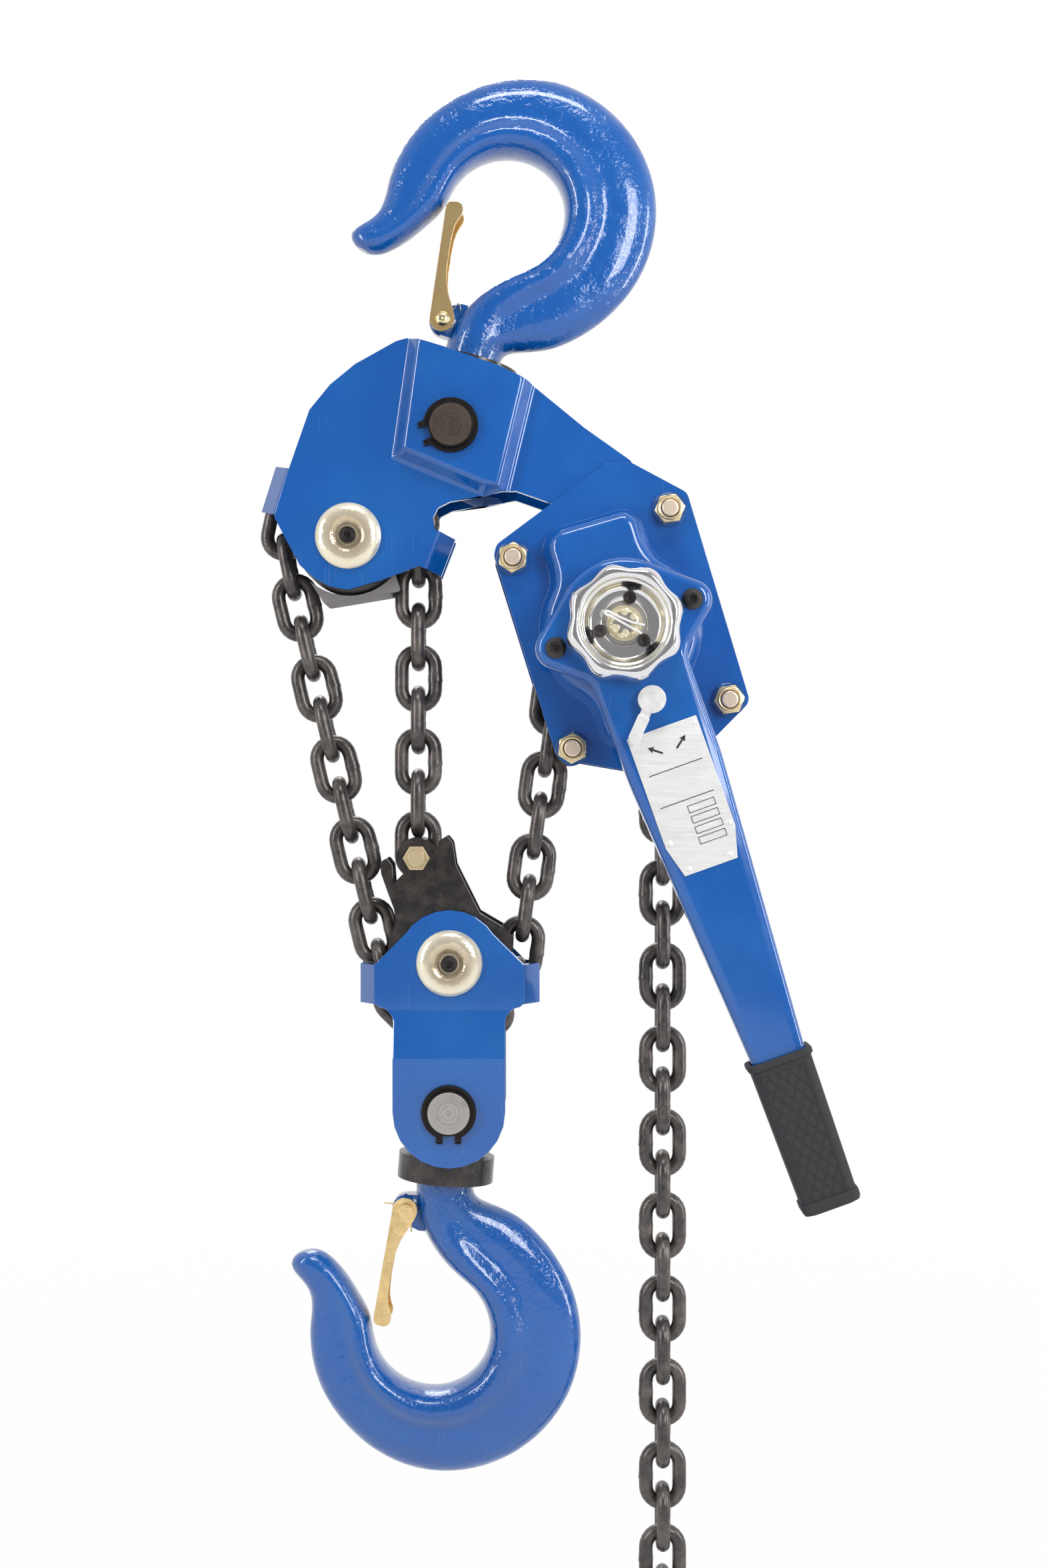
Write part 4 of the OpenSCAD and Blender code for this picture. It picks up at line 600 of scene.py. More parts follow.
def new_group(name, inputs):
    """An empty node group with a Geometry in and out and named inputs."""
    tree = bpy.data.node_groups.new(name, "GeometryNodeTree")
    tree.interface.new_socket("Geometry", in_out="INPUT", socket_type="NodeSocketGeometry")
    for label, kind, value in inputs:
        socket = tree.interface.new_socket(label, in_out="INPUT", socket_type=kind)
        if value is not None:
            socket.default_value = value
    tree.interface.new_socket("Geometry", in_out="OUTPUT", socket_type="NodeSocketGeometry")
    start = tree.nodes.new("NodeGroupInput")
    end = tree.nodes.new("NodeGroupOutput")
    return tree, start, end


def run_group(piece, tree, **values):
    """Adds a node group to a piece, sets its inputs by identifier and bakes the result."""
    modifier = piece.modifiers.new(tree.name, "NODES")
    modifier.node_group = tree
    for socket in tree.interface.items_tree:
        if socket.item_type == "SOCKET" and socket.in_out == "INPUT":
            key = socket.name.lower().replace(" ", "_")
            if key in values:
                modifier[socket.identifier] = values[key]
    return bake(piece)


def colour_out(tree, start, end, geometry):
    """Gives a group's result its finish."""
    coloured = add(tree, "GeometryNodeSetMaterial", Geometry=geometry.outputs[0],
                   Material=start.outputs["Finish"])
    tree.links.new(coloured.outputs[0], end.inputs[0])
    return tree


def points_with(name, places, key, values):
    """Loose points in the scene that carry a vector each."""
    mesh = bpy.data.meshes.new(name)
    mesh.from_pydata([tuple(place) for place in places], [], [])
    mesh.attributes.new(key, "FLOAT_VECTOR", "POINT")
    mesh.attributes[key].data.foreach_set("vector", [v for value in values for v in value])
    return put_in_scene(name, mesh)


def round_wire(name, verts, thick, key, edges=None):
    """Round wire along edges, or from each point to the next."""
    mesh = bpy.data.meshes.new(name)
    edges = edges or [(i, i + 1) for i in range(len(verts) - 1)]
    mesh.from_pydata([tuple(v) for v in verts], edges, [])
    made = run_group(put_in_scene(name, mesh), grip_tree(), rib=thick, finish=finish(key))
    made.data.shade_smooth()
    return made


# ---------------------------------------------------------------- forged hooks
# Half section of the forging, as in the frame: share of depth, share of half width
HOOK_HALF = [
    (0, 0), (0.02, 0.5), (0.08, 0.84), (0.18, 1.0), (0.28, 0.99), (0.36, 0.83),
    (0.45, 0.69), (0.61, 0.73), (0.80, 0.62), (0.94, 0.42), (1.025, 0),
]
HOOK_WIDTH = 47
HOOK_REACH = 163.3
HOLDER_REACH = 53.5
SHANK_R = 19.75
LATCH_X, LATCH_Z = -26, 87


def between(value, table):
    return float(np.interp(value, [row[0] for row in table], [row[1] for row in table]))


def hook_ribs():
    """Ribs of the forging from the shank to the tip: inner point, outer point, width, roundness."""
    neck = SHANK_R + 0.8
    top = HOOK_REACH - HOLDER_REACH - 1.6
    ribs = [
        ((-neck, top), (neck, top), 2 * neck, 1),
        ((-neck, 99), (neck + 1, 100), 2 * neck + 1, 1),
        ((-18.5, 86), (27, 96), 44, 0.8),
        ((-13, 72), (36, 93.5), 45, 0.5),
        ((-4, 58.5), (45, 90.5), 46, 0.25),
        ((7, 47), (54, 87), HOOK_WIDTH, 0.1),
    ]
    inner = [(-172, 43.2), (-150, 42), (-120, 41), (-90, 40.5), (30, 40.5), (66, 43)]
    outer = [(-176, 89.5), (-150, 91.3), (-130, 92.6), (-110, 96.5), (-90, 101), (-70, 104),
             (-50, 106.5), (-30, 108.2), (-10, 108), (10, 106.5), (30, 104), (50, 102.8)]
    width = [(-172, HOOK_WIDTH - 7), (-110, HOOK_WIDTH), (66, HOOK_WIDTH)]
    # Both edges sweep down round the bowl, each through its own angles in degrees
    for step in range(19):
        a, b = 66 - 238 * step / 18, 50 - 226 * step / 18
        near, far = between(a, inner), between(b, outer)
        ribs.append(((near * math.cos(math.radians(a)), near * math.sin(math.radians(a))),
                     (far * math.cos(math.radians(b)), far * math.sin(math.radians(b))),
                     between(a, width), 0))
    return ribs + [
        ((-45, 5.5), (-88.7, 5), 38, 0.2), ((-49.5, 14), (-89, 13), 36, 0.3),
        ((-55.5, 22.5), (-90.5, 20), 34, 0.4), ((-62, 32), (-95, 27), 31, 0.5),
        ((-69, 40), (-101.5, 32.5), 29, 0.6), ((-75.5, 46), (-105, 37), 27, 0.8),
        ((-80.3, 49.4), (-106.3, 41.4), 24, 1), ((-85.2, 51.4), (-104.2, 46.4), 18, 1),
        ((-89.6, 51.8), (-99.6, 49.3), 10, 1),
    ]


def hook_forging(bm):
    """Cage of the forging about the bowl's centre."""
    rings = []
    for near, far, width, roundness in hook_ribs():
        ring = []
        for k, side in [(k, 1) for k in range(11)] + [(k, -1) for k in range(9, 0, -1)]:
            share = HOOK_HALF[k]
            full = ((1 - math.cos(math.radians(18 * k))) / 2, math.sin(math.radians(18 * k)))
            s = share[0] * (1 - roundness) + full[0] * roundness
            w = share[1] * (1 - roundness) + full[1] * roundness
            ring.append(bm.verts.new((near[0] + (far[0] - near[0]) * s, side * w * width / 2,
                                      near[1] + (far[1] - near[1]) * s)))
        rings.append(ring)
    join_rings(bm, rings)
    bm.faces.new(rings[0])
    bm.faces.new(rings[-1][::-1])


def revolve(bm, profile, steps=64, centre=(0, 0, 0), axis="Z"):
    """A closed revolved skin from [radius, height] points; the ends lie on the axis."""
    rings = []
    for radius, height in profile:
        ring = []
        for i in range(steps if radius > 0 else 1):
            a = 2 * math.pi * i / steps
            x, y = radius * math.cos(a), radius * math.sin(a)
            place = (x, y, height) if axis == "Z" else (x, height, y)
            ring.append(bm.verts.new(Vector(place) + Vector(centre)))
        rings.append(ring)
    for first, second in zip(rings, rings[1:]):
        for i in range(steps):
            j = (i + 1) % steps
            corners = [first[i % len(first)], first[j % len(first)],
                       second[j % len(second)], second[i % len(second)]]
            corners = [v for n, v in enumerate(corners) if v not in corners[:n]]
            if len(corners) > 2:
                bm.faces.new(corners)


def extrude_outline(bm, outline, y0, y1):
    """A slab over an x-z outline between two depths."""
    front = [bm.verts.new((x, y0, z)) for x, z in outline]
    rear = [bm.verts.new((x, y1, z)) for x, z in outline]
    bm.faces.new(front)
    bm.faces.new(rear[::-1])
    for i in range(len(front)):
        j = (i + 1) % len(front)
        bm.faces.new((front[j], front[i], rear[i], rear[j]))


def forged_hook(node, place, body, name):
    """The smooth forging with the latch's lug, the shank and the threaded end."""
    bm = bmesh.new()
    hook_forging(bm)
    mesh = mesh_of(bm, name)
    mesh.shade_smooth()
    piece = put_in_scene(name, mesh)
    rounder = piece.modifiers.new("rounder", "SUBSURF")
    rounder.levels = rounder.render_levels = 3
    bake(piece)
    bm = bmesh.new()
    bm.from_mesh(piece.data)
    lug = bmesh.new()
    revolve(lug, [(0, -7), (9.2, -7), (10, -6.2), (10, 6.2), (9.2, 7), (0, 7)], 40,
            (LATCH_X, 0, LATCH_Z), "Y")
    extrude_outline(lug, [(-34.5, 92), (-26, 97), (-12, 98), (-6, 80), (-8, 72), (-16, 72),
                          (-30, 78)], -6.9, 6.9)
    revolve(lug, [(0, 162), (15, 162), (15, 136), (SHANK_R, 134.5), (SHANK_R, 107),
                  (SHANK_R + 0.6, 104), (0, 104)])
    extra = mesh_of(lug, name + "_lug")
    bm.from_mesh(extra)
    bpy.data.meshes.remove(extra)
    bm.transform(place @ Matrix.Translation((0, 0, -HOOK_REACH)))
    bmesh.ops.recalc_face_normals(bm, faces=bm.faces)
    bm.to_mesh(piece.data)
    bm.free()
    piece.data.materials.clear()
    piece.data.materials.append(finish("forged enamel"))
    piece.data.shade_smooth()
    piece.data.set_sharp_from_angle(angle=math.radians(60))
    return hand_over(piece, body, "blue enamel", node)


def latch_spring(node, place, name):
    """A torsion spring round a latch's pin, one leg along the latch and one on the hook."""
    turn = math.radians(-5.65)
    radius, pitch, front = 3.9, 1.3, -11.2
    path = [(-4.6, -17, front), (-radius - 0.1, -6, front)]
    for k in range(37):
        a = math.radians(180 + 20 * k)
        path.append((radius * math.cos(a), radius * math.sin(a), front + pitch * k / 18))
    path += [(-1, -5.2, front + 3), (5.6, -8, front + 3), (9.0, -13.6, front + 2),
             (10.4, -12.6, front + 2), (11.4, -9, front + 3)]
    verts = []
    for across, along, depth in path:
        x = across * math.cos(turn) - along * math.sin(turn) + LATCH_X
        z = across * math.sin(turn) + along * math.cos(turn) + LATCH_Z - HOOK_REACH
        verts.append(place @ Vector((x, depth, z)))
    return hand_over(round_wire(name, verts, 0.001, "turned steel"), body_of(node), "steel", node)


class HOIST_OT_hooks(bpy.types.Operator):
    """Forge both hooks as smooth enamelled pieces with their latches"""
    bl_idname = "hoist.hooks"
    bl_label = "Hooks and latches"

    def execute(self, context):
        top = pose(TOP_PIN, TOP_LEAN, flip=True)
        forged_hook("top_hook", top, "hook", "upper_hook_forging")
        forged_hook("lower_hook", pose(LOWER_PIN, LOWER_LEAN), "load_hook", "load_hook_forging")
        for node in ("top_latch", "lower_latch"):
            dressed(node, "latch zinc", "yellow zinc", round_off=0.0008, steps=3, corner=0.003)
        dome = [(0.01, -17.1), (1.6, -17), (3, -16.6), (4.3, -15.9), (5.1, -15), (5.3, -14.35),
                (4, -14.3)]
        rear = [(r, -y) for r, y in reversed(dome)]
        rivet = ring_mesh("latch_rivet", dome + rear + dome[:1], 40)
        rivet.transform(top @ Matrix.Translation((LATCH_X, 0, LATCH_Z - HOOK_REACH)) @ TO_MM)
        rivet.flip_normals()
        rivet.materials.append(finish("rivet zinc"))
        hand_over(put_in_scene("latch_rivet", rivet), body_of("top_latch_pin"), "yellow zinc",
                  "top_latch_pin")
        latch_spring("top_latch_spring", top, "upper_torsion_spring")
        paint_node("lower_latch_spring", "latch zinc")
        for node in ("top_swivel_nut", "lower_swivel_nut"):
            paint_node(node, "turned steel")
        return {"FINISHED"}


# ---------------------------------------------------------------- frame and covers
def enamelled(*nodes, **more):
    """Painted sheets with rounded edges, chipped and with painted glints along them."""
    edge = props("hoist_paint").edge_round
    for node in nodes:
        dressed(node, "sheet enamel", "blue enamel", "edge enamel", edge, **more)


class HOIST_OT_side_plates(bpy.types.Operator):
    """Enamel the side plates, with rounded edges and chipped paint"""
    bl_idname = "hoist.side_plates"
    bl_label = "Side plates"

    def execute(self, context):
        enamelled("front_yoke_plate", "rear_yoke_plate", fold=0.0024, level=True)
        enamelled("lower_plates", crisp=5, level=True)
        return {"FINISHED"}


class HOIST_OT_covers(bpy.types.Operator):
    """Enamel the pressed brake cover and the gear case"""
    bl_idname = "hoist.covers"
    bl_label = "Brake cover and gear case"

    def execute(self, context):
        enamelled("brake_cover", "gear_case")
        return {"FINISHED"}


STAY_ACROSS = 115.4
STAY_UP = 140.4
NUT_SEAT = 34.6
NUT_HALF_FLATS = 9.5
# Metres from the lower idler's middle: a cap screw's head, where it shows, and the cap's back
HEAD_R = 0.0061
HEAD_OUT = 0.0325
CAP_BACK = 0.0299


def nut_rows():
    """Radius, depth and whether the hexagon cuts it, from the seat out over the collar."""
    chamfer = [(9.4 + 1.7 * (7.4 - h), -h, 1) for h in (6.2, 6.5, 6.8, 7.1, 7.4)]
    collar = [(r, y, 0) for r, y in ((8.5, -7.5), (8.5, -9.0), (8.2, -9.6), (7.6, -10), (6.9, -9.9),
                                     (6.5, -9.4), (6.3, -8))]
    return [(6.3, 0, 0), (12, 0, 1), (12, -5.9, 1)] + chamfer + collar + [(6.3, 0, 0)]


def hexagon(radius, flat, angle):
    """A radius cut back to a hexagon that measures flat from its middle to each side."""
    return min(radius, flat / math.cos((angle % (math.pi / 3)) - math.pi / 6))


def ring_mesh(name, rows, steps, radius_at=lambda row, angle: row[0]):
    """A turned skin in metres about Y; each row's radius may change round the turn."""
    bm = bmesh.new()
    rings = []
    for row in rows[:-1]:
        ring = []
        for i in range(steps):
            a = 2 * math.pi * i / steps
            r = radius_at(row, a)
            ring.append(bm.verts.new((r * math.cos(a) * MM, row[1] * MM, r * math.sin(a) * MM)))
        rings.append(ring)
    join_rings(bm, rings, closed=True)
    bmesh.ops.recalc_face_normals(bm, faces=bm.faces)
    mesh = mesh_of(bm, name)
    mesh.shade_smooth()
    return mesh


class HOIST_OT_fasteners(bpy.types.Operator):
    """Plate the stay bolts, nuts, axle caps and their screws"""
    bl_idname = "hoist.fasteners"
    bl_label = "Bolts, nuts and caps"

    def execute(self, context):
        dressed("stay_bolts", "bolt zinc", "yellow zinc", round_off=0.0014, steps=3)
        self.stay_nuts()
        dressed("upper_axle_caps", "upper cap zinc", "yellow zinc", round_off=0.0003, angle=50)
        dressed("upper_cap_screws", "socket black", "black oxide", round_off=0.0004)
        dressed("anchor_bolt", "zinc", "yellow zinc", round_off=0.0005)
        self.lower_caps()
        return {"FINISHED"}

    def stay_nuts(self):
        """Locking nuts with a rolled collar, on painted washers, at both ends of each stay."""
        places, turns = [], []
        for across in (-1, 1):
            for up in (-1, 1):
                for front in (-1, 1):
                    spot = Vector((across * STAY_ACROSS / 2, front * NUT_SEAT, up * STAY_UP / 2))
                    places.append(pose(HUB, BODY_LEAN) @ spot)
                    turn = Matrix.Rotation(math.radians(BODY_LEAN + 9 * across), 3, "Y")
                    if front > 0:
                        turn = turn @ Matrix.Rotation(math.pi, 3, "Z")
                    turns.append(turn.to_euler())
        washer = [(6.4, 0), (11.2, 0), (12, -0.5), (12, 1.6), (6.4, 1.6), (6.4, 0)]
        washer_rows = [(r, y, 0) for r, y in washer]
        for name, rows, key, slot in (("stay_nuts", nut_rows(), "zinc", "yellow zinc"),
                                      ("nut_washers", washer_rows, "sheet enamel", "blue enamel")):
            shape = put_in_scene("nut", ring_mesh("nut", rows, 72, lambda row, a: (
                hexagon(row[0], NUT_HALF_FLATS, a) if row[2] else row[0])))
            points = points_with(name, places, "turn", turns)
            piece = run_group(points, link_tree(), link=shape, size=1.0, finish=finish(key))
            piece.data.set_sharp_from_angle(angle=math.radians(28))
            hand_over(piece, body_of("body_nuts"), slot, "body_nuts")
            bpy.data.objects.remove(shape)

    def lower_caps(self):
        """The lower caps and their black screws share a node."""
        piece = dressed("lower_axle_caps", "lower cap zinc", "yellow zinc", round_off=0.0003,
                        angle=50)
        mesh = piece.data
        mesh.materials.append(finish("socket black"))
        for face in mesh.polygons:
            middle = face.center - LOWER_IDLER
            head = math.hypot(middle.x, middle.z) < HEAD_R and abs(middle.y) > HEAD_OUT
            if head or abs(middle.y) < CAP_BACK:
                face.material_index = len(mesh.materials) - 1


class HOIST_OT_works(bpy.types.Operator):
    """Finish the sheaves, gears, brake and guides inside the frame"""
    bl_idname = "hoist.works"
    bl_label = "Sheaves, gears and brake"

    def execute(self, context):
        for node in ("upper_idler", "lower_idler", "load_sheave", "upper_chain_guide",
                     "chain_stripper"):
            dressed(node, "cast iron", "cast iron", round_off=0.0005)
        for node in ("upper_bearing", "upper_axle", "sheave_bearings", "load_gear",
                     "intermediate_gear_a", "intermediate_gear_b", "pinion_shaft", "disc_hub",
                     "ratchet_disc", "brake_pawl_a", "brake_pawl_b", "pawl_pins", "change_gear",
                     "lower_axle"):
            paint_node(node, "turned steel")
        paint_node("friction_discs", "lining")
        return {"FINISHED"}


class HOIST_OT_swivels(bpy.types.Operator):
    """Blacken the hook holders, the chain anchor and the cross pins"""
    bl_idname = "hoist.swivels"
    bl_label = "Holders, anchor and pins"

    def execute(self, context):
        for node in ("top_holder", "lower_holder"):
            dressed(node, "forged oxide", "black oxide", round_off=0.0012)
        dressed("chain_anchor", "forged oxide", "black oxide", round_off=0.0014)
        dressed("top_pin", "top pin steel", "steel", round_off=0.0005)
        dressed("lower_pin", "lower pin steel", "steel", round_off=0.0005)
        return {"FINISHED"}


# ---------------------------------------------------------------- lever
def lever_point(x, z, y=0.0):
    """A point of the lever's face, in metres, from millimetres in the lever's own frame."""
    return pose(HUB, LEVER_LEAN) @ Vector((x, y, z))


# Metres from the rivets' tips back to the print, and millimetres of its thickness
PRINT_BACK = 0.00095
INK = 0.06


class HOIST_OT_lever(bpy.types.Operator):
    """Enamel the lever, dress its screws and selector and mark the plate"""
    bl_idname = "hoist.lever"
    bl_label = "Lever, selector and plate"

    def execute(self, context):
        enamelled("lever_front_shell", "lever_rear_shell", angle=40)
        dressed("lever_screws", "socket black", "black oxide", round_off=0.0011, steps=3)
        dressed("selector", "cast zinc", "chrome", round_off=0.0007)
        dressed("name_plate", "plate", "name plate", round_off=0.0002, steps=1)
        self.plate_marks()
        return {"FINISHED"}

    def plate_marks(self):
        """Two arrows for the selector's turns and empty ruled boxes, all printed."""
        face = NODES["name_plate"].data
        front = min(v.co.y for v in face.vertices)
        level = (front + PRINT_BACK) / MM
        bm = bmesh.new()
        arrow = [(0, 0.7), (7, 0.7), (7, 2.2), (11, 0), (7, -2.2), (7, -0.7), (0, -0.7)]
        lean = math.radians(38)
        for side in (-1, 1):
            placed = []
            for x, z in arrow:
                px = x * math.cos(lean) - z * math.sin(lean)
                pz = x * math.sin(lean) + z * math.cos(lean)
                placed.append((side * (5 + px), -92 + pz))
            if side < 0:
                placed.reverse()
            extrude_outline(bm, placed, level - INK, level)
        bmesh.ops.transform(bm, matrix=pose(HUB, LEVER_LEAN), verts=bm.verts)
        bmesh.ops.recalc_face_normals(bm, faces=bm.faces)
        mesh = mesh_of(bm, "plate_marks")
        mesh.materials.append(finish("ink"))
        hand_over(put_in_scene("selector_arrows", mesh), "lever", "rubber")
        # Ruled boxes and two rules: one rectangle repeated down the plate
        spots = [(8, z) for z in (-134, -141.5, -149, -156.5)] + [(0, z) for z in (-104, -127)]
        sizes = [(0.019, 1, 0.0048)] * 4 + [(0.038, 1, 0.0001)] * 2
        spots = [lever_point(x, z, level - INK / 2) for x, z in spots]
        points = points_with("plate_boxes", spots, "size", sizes)
        boxes = run_group(points, ruled_boxes(), line=0.00035, lean=math.radians(-LEVER_LEAN),
                          finish=finish("ink"))
        hand_over(boxes, "lever", "rubber")


def ruled_boxes():
    """Rectangular outlines of a line's thickness on points that carry their size."""
    tree, start, end = new_group("Ruled boxes", [
        ("Line", "NodeSocketFloat", 0.0004), ("Lean", "NodeSocketFloat", 0.0),
        ("Finish", "NodeSocketMaterial", None)])
    size = add(tree, "GeometryNodeInputNamedAttribute", {"data_type": "FLOAT_VECTOR"}, Name="size")
    square = add(tree, "GeometryNodeCurvePrimitiveQuadrilateral", Width=1.0, Height=1.0)
    upright = add(tree, "GeometryNodeTransform", Geometry=square.outputs[0],
                  Rotation=(math.pi / 2, 0, 0))
    turned = add(tree, "ShaderNodeCombineXYZ", Y=start.outputs["Lean"])
    flip = add(tree, "ShaderNodeVectorMath", {"operation": "SCALE"}, i0=turned.outputs[0],
               Scale=-1.0)
    copies = add(tree, "GeometryNodeInstanceOnPoints", Points=start.outputs["Geometry"],
                 Instance=upright.outputs[0], Rotation=flip.outputs[0],
                 Scale=size.outputs["Attribute"])
    curves = add(tree, "GeometryNodeRealizeInstances", Geometry=copies.outputs[0])
    profile = add(tree, "GeometryNodeCurvePrimitiveCircle", Resolution=4)
    tree.links.new(start.outputs["Line"], profile.inputs["Radius"])
    solid = add(tree, "GeometryNodeCurveToMesh", Curve=curves.outputs[0],
                Profile_Curve=profile.outputs[0])
    return colour_out(tree, start, end, solid)


# ---------------------------------------------------------------- grip
GRIP_DEPTH = 31
GRIP_MIDDLE = -367
SHORTEST_RIB = 1.2


def grip_tree():
    """Moulded ribs along lines."""
    tree, start, end = new_group("Moulded ribs", [
        ("Rib", "NodeSocketFloat", 0.0008), ("Finish", "NodeSocketMaterial", None)])
    curve = add(tree, "GeometryNodeMeshToCurve", Mesh=start.outputs["Geometry"])
    profile = add(tree, "GeometryNodeCurvePrimitiveCircle", Resolution=8)
    half = add(tree, "ShaderNodeMath", {"operation": "MULTIPLY"}, i0=start.outputs["Rib"], i1=0.5)
    tree.links.new(half.outputs[0], profile.inputs["Radius"])
    solid = add(tree, "GeometryNodeCurveToMesh", Curve=curve.outputs[0],
                Profile_Curve=profile.outputs[0], Fill_Caps=True)
    real = add(tree, "GeometryNodeRealizeInstances", Geometry=solid.outputs[0])
    return colour_out(tree, start, end, real)


def clip_line(point, way, polygon):
    """The stretch of an endless line inside a convex outline."""
    low, high = -1e9, 1e9
    for i, a in enumerate(polygon):
        b = polygon[(i + 1) % len(polygon)]
        nx, nz = a[1] - b[1], b[0] - a[0]
        facing = nx * way[0] + nz * way[1]
        off = nx * (point[0] - a[0]) + nz * (point[1] - a[1])
        if abs(facing) < 1e-9:
            if off < 0:
                return None
            continue
        t = -off / facing
        if facing > 0:
            low = max(low, t)
        else:
            high = min(high, t)
    if high - low < SHORTEST_RIB:
        return None
    return [(point[0] + way[0] * t, point[1] + way[1] * t) for t in (low, high)]


class HOIST_OT_grip(bpy.types.Operator):
    """Mould the rubber grip with its raised lattice"""
    bl_idname = "hoist.grip"
    bl_label = "Grip"

    def execute(self, context):
        sizes = context.scene.hoist_grip
        dressed("grip", "rubber", "rubber", round_off=0.0006, angle=38)
        middle = (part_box("lever_front_shell")[0].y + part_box("lever_rear_shell")[1].y) / 2 / MM
        verts, edges = [], []
        # The lattice's panel narrows down the face
        panel = [(-17, -322), (-12.5, -413), (13.2, -413), (15, -322)]
        for front in (-1, 1):
            y = middle + front * (GRIP_DEPTH / 2 + 0.05)
            for slope in (58, 122):
                way = (math.cos(math.radians(slope)), math.sin(math.radians(slope)))
                step = sizes.spacing / MM
                for k in range(-40, 41):
                    start = (k * step / abs(way[1]), GRIP_MIDDLE)
                    line = clip_line(start, way, panel)
                    if line:
                        verts += [lever_point(x, z, y) for x, z in line]
                        edges.append((len(verts) - 2, len(verts) - 1))
            for a, b in zip(panel, panel[1:] + panel[:1]):
                verts += [lever_point(*a, y), lever_point(*b, y)]
                edges.append((len(verts) - 2, len(verts) - 1))
        ribs = round_wire("grip_lattice", verts, sizes.rib, "rubber", edges)
        hand_over(ribs, "lever", "rubber")
        return {"FINISHED"}


# ---------------------------------------------------------------- hand wheel
# Radius at a lobe, depth and share of the scallop, from the bore round the rim and back
WHEEL_LOBES = 8
WHEEL_LOBE = 1.7
WHEEL_BACK = 87.5
WHEEL_ROWS = [(r, -WHEEL_BACK - d, share) for r, d, share in (
    (15.1, 0, 0), (34, 0, 0), (37.2, 0.6, 0.6), (39.6, 2.6, 1), (40.7, 5.6, 1), (41, 9, 1),
    (40.5, 12, 1), (39.3, 14.3, 0.9), (37.6, 16, 0.7), (35.6, 16.9, 0.5), (33.8, 17, 0.3),
    (32.2, 16.6, 0.15), (31, 15.9, 0.1),
    (30, 15, 0), (29.6, 14, 0), (28.9, 13.4, 0), (28, 13.2, 0), (27.5, 12.6, 0), (27.2, 10.8, 0),
    (26.8, 8, 0), (26.2, 5.8, 0), (25.4, 4.3, 0), (24.3, 3.3, 0), (22.8, 2.7, 0), (21.8, 2.6, 0),
    (15.9, 2.6, 0), (15.3, 2.4, 0), (15.1, 1.8, 0), (15.1, 0, 0))]


CROWN_HALF_FLATS = 9.1
SLOT_HALF = 1.4


def crown_nut():
    """A slotted nut in millimetres on the hub: washer, hexagon and six crowns round the shaft."""
    bm = bmesh.new()
    washer = [(7.1, -90.2), (12, -90.2), (12.3, -90.5), (12.3, -91), (12, -91.3), (7.1, -91.3),
              (7.1, -90.2)]
    nut = [(7.1, -91.3), (10.6, -91.3), (10.6, -93.4), (9.8, -93.8), (8.8, -94.2), (7.1, -94.2),
           (7.1, -91.3)]
    for rows, flat in ((washer, math.inf), (nut, CROWN_HALF_FLATS)):
        part = ring_mesh("part", rows, 96, lambda row, a: hexagon(row[0], flat, a))
        part.transform(TO_MM)
        bm.from_mesh(part)
        bpy.data.meshes.remove(part)
    for k in range(6):
        middle = math.radians(60 * k + 15)
        rows = []
        for r in (4.6, 8.8):
            half = math.pi / 6 - math.asin(SLOT_HALF / r)
            for y in (-94, -99.8):
                turns = [middle + half * t for t in (-1, -0.5, 0, 0.5, 1)]
                rows.append([bm.verts.new((r * math.cos(a), y, r * math.sin(a))) for a in turns])
        faces = []
        for first, second in ((0, 1), (1, 3), (3, 2), (2, 0)):
            one, two = rows[first], rows[second]
            faces += [bm.faces.new((one[i], one[i + 1], two[i + 1], two[i])) for i in range(4)]
        faces += [bm.faces.new([rows[n][i] for n in (0, 1, 3, 2)]) for i in (0, 4)]
        bmesh.ops.recalc_face_normals(bm, faces=faces)
        edges = [e for e in {e for f in faces for e in f.edges} if e.calc_face_angle(0) > 0.9]
        bmesh.ops.bevel(bm, geom=edges, offset=0.45, segments=3, profile=0.5, affect="EDGES")
    mesh = mesh_of(bm, "slotted_nut")
    mesh.shade_smooth()
    mesh.set_sharp_from_angle(angle=math.radians(35))
    return mesh


class HOIST_OT_hand_wheel(bpy.types.Operator):
    """Chrome the hand wheel and fit its screws, castle nut and split pin"""
    bl_idname = "hoist.hand_wheel"
    bl_label = "Hand wheel"

    def execute(self, context):
        wheel = ring_mesh("scalloped_wheel", WHEEL_ROWS, 360, lambda row, a: (
            row[0] + row[2] * WHEEL_LOBE * (math.cos(WHEEL_LOBES * a) - 1)))
        wheel.transform(pose(HUB, BODY_LEAN) @ TO_MM)
        wheel.materials.append(finish("chrome"))
        hand_over(put_in_scene("scalloped_wheel", wheel), "drive", "chrome", "hand_wheel")
        dressed("wheel_screws", "socket black", "black oxide", round_off=0.0010, steps=3)
        nut = crown_nut()
        nut.transform(pose(HUB, BODY_LEAN))
        nut.materials.append(finish("crown zinc"))
        hand_over(put_in_scene("slotted_nut", nut), "drive", "yellow zinc", "castle_nut")
        # Split pin: an eye, two legs and their spread ends, along the nut's slots
        path = [(-13.4, -1.6, -100.4), (-6, -1.5, -100.8), (4, -1.1, -100.8), (10.5, -1, -100.6),
                (13, -1.3, -99.8), (14.6, -0.9, -99.4), (15.2, 0, -99.3), (14.6, 0.9, -99.4),
                (13, 1.3, -99.8), (10.5, 1, -100.6), (4, 1.2, -100.8), (-4, 1.9, -100.9),
                (-12.6, 4.2, -100.6)]
        place = pose(HUB, BODY_LEAN - 45)
        verts = [place @ Vector((across, y, along)) for along, across, y in path]
        pin = round_wire("bent_split_pin", verts, 0.0018, "cast zinc")
        hand_over(pin, "drive", "steel", "split_pin")
        return {"FINISHED"}


# ---------------------------------------------------------------- chain
LINK_SIDES = 16


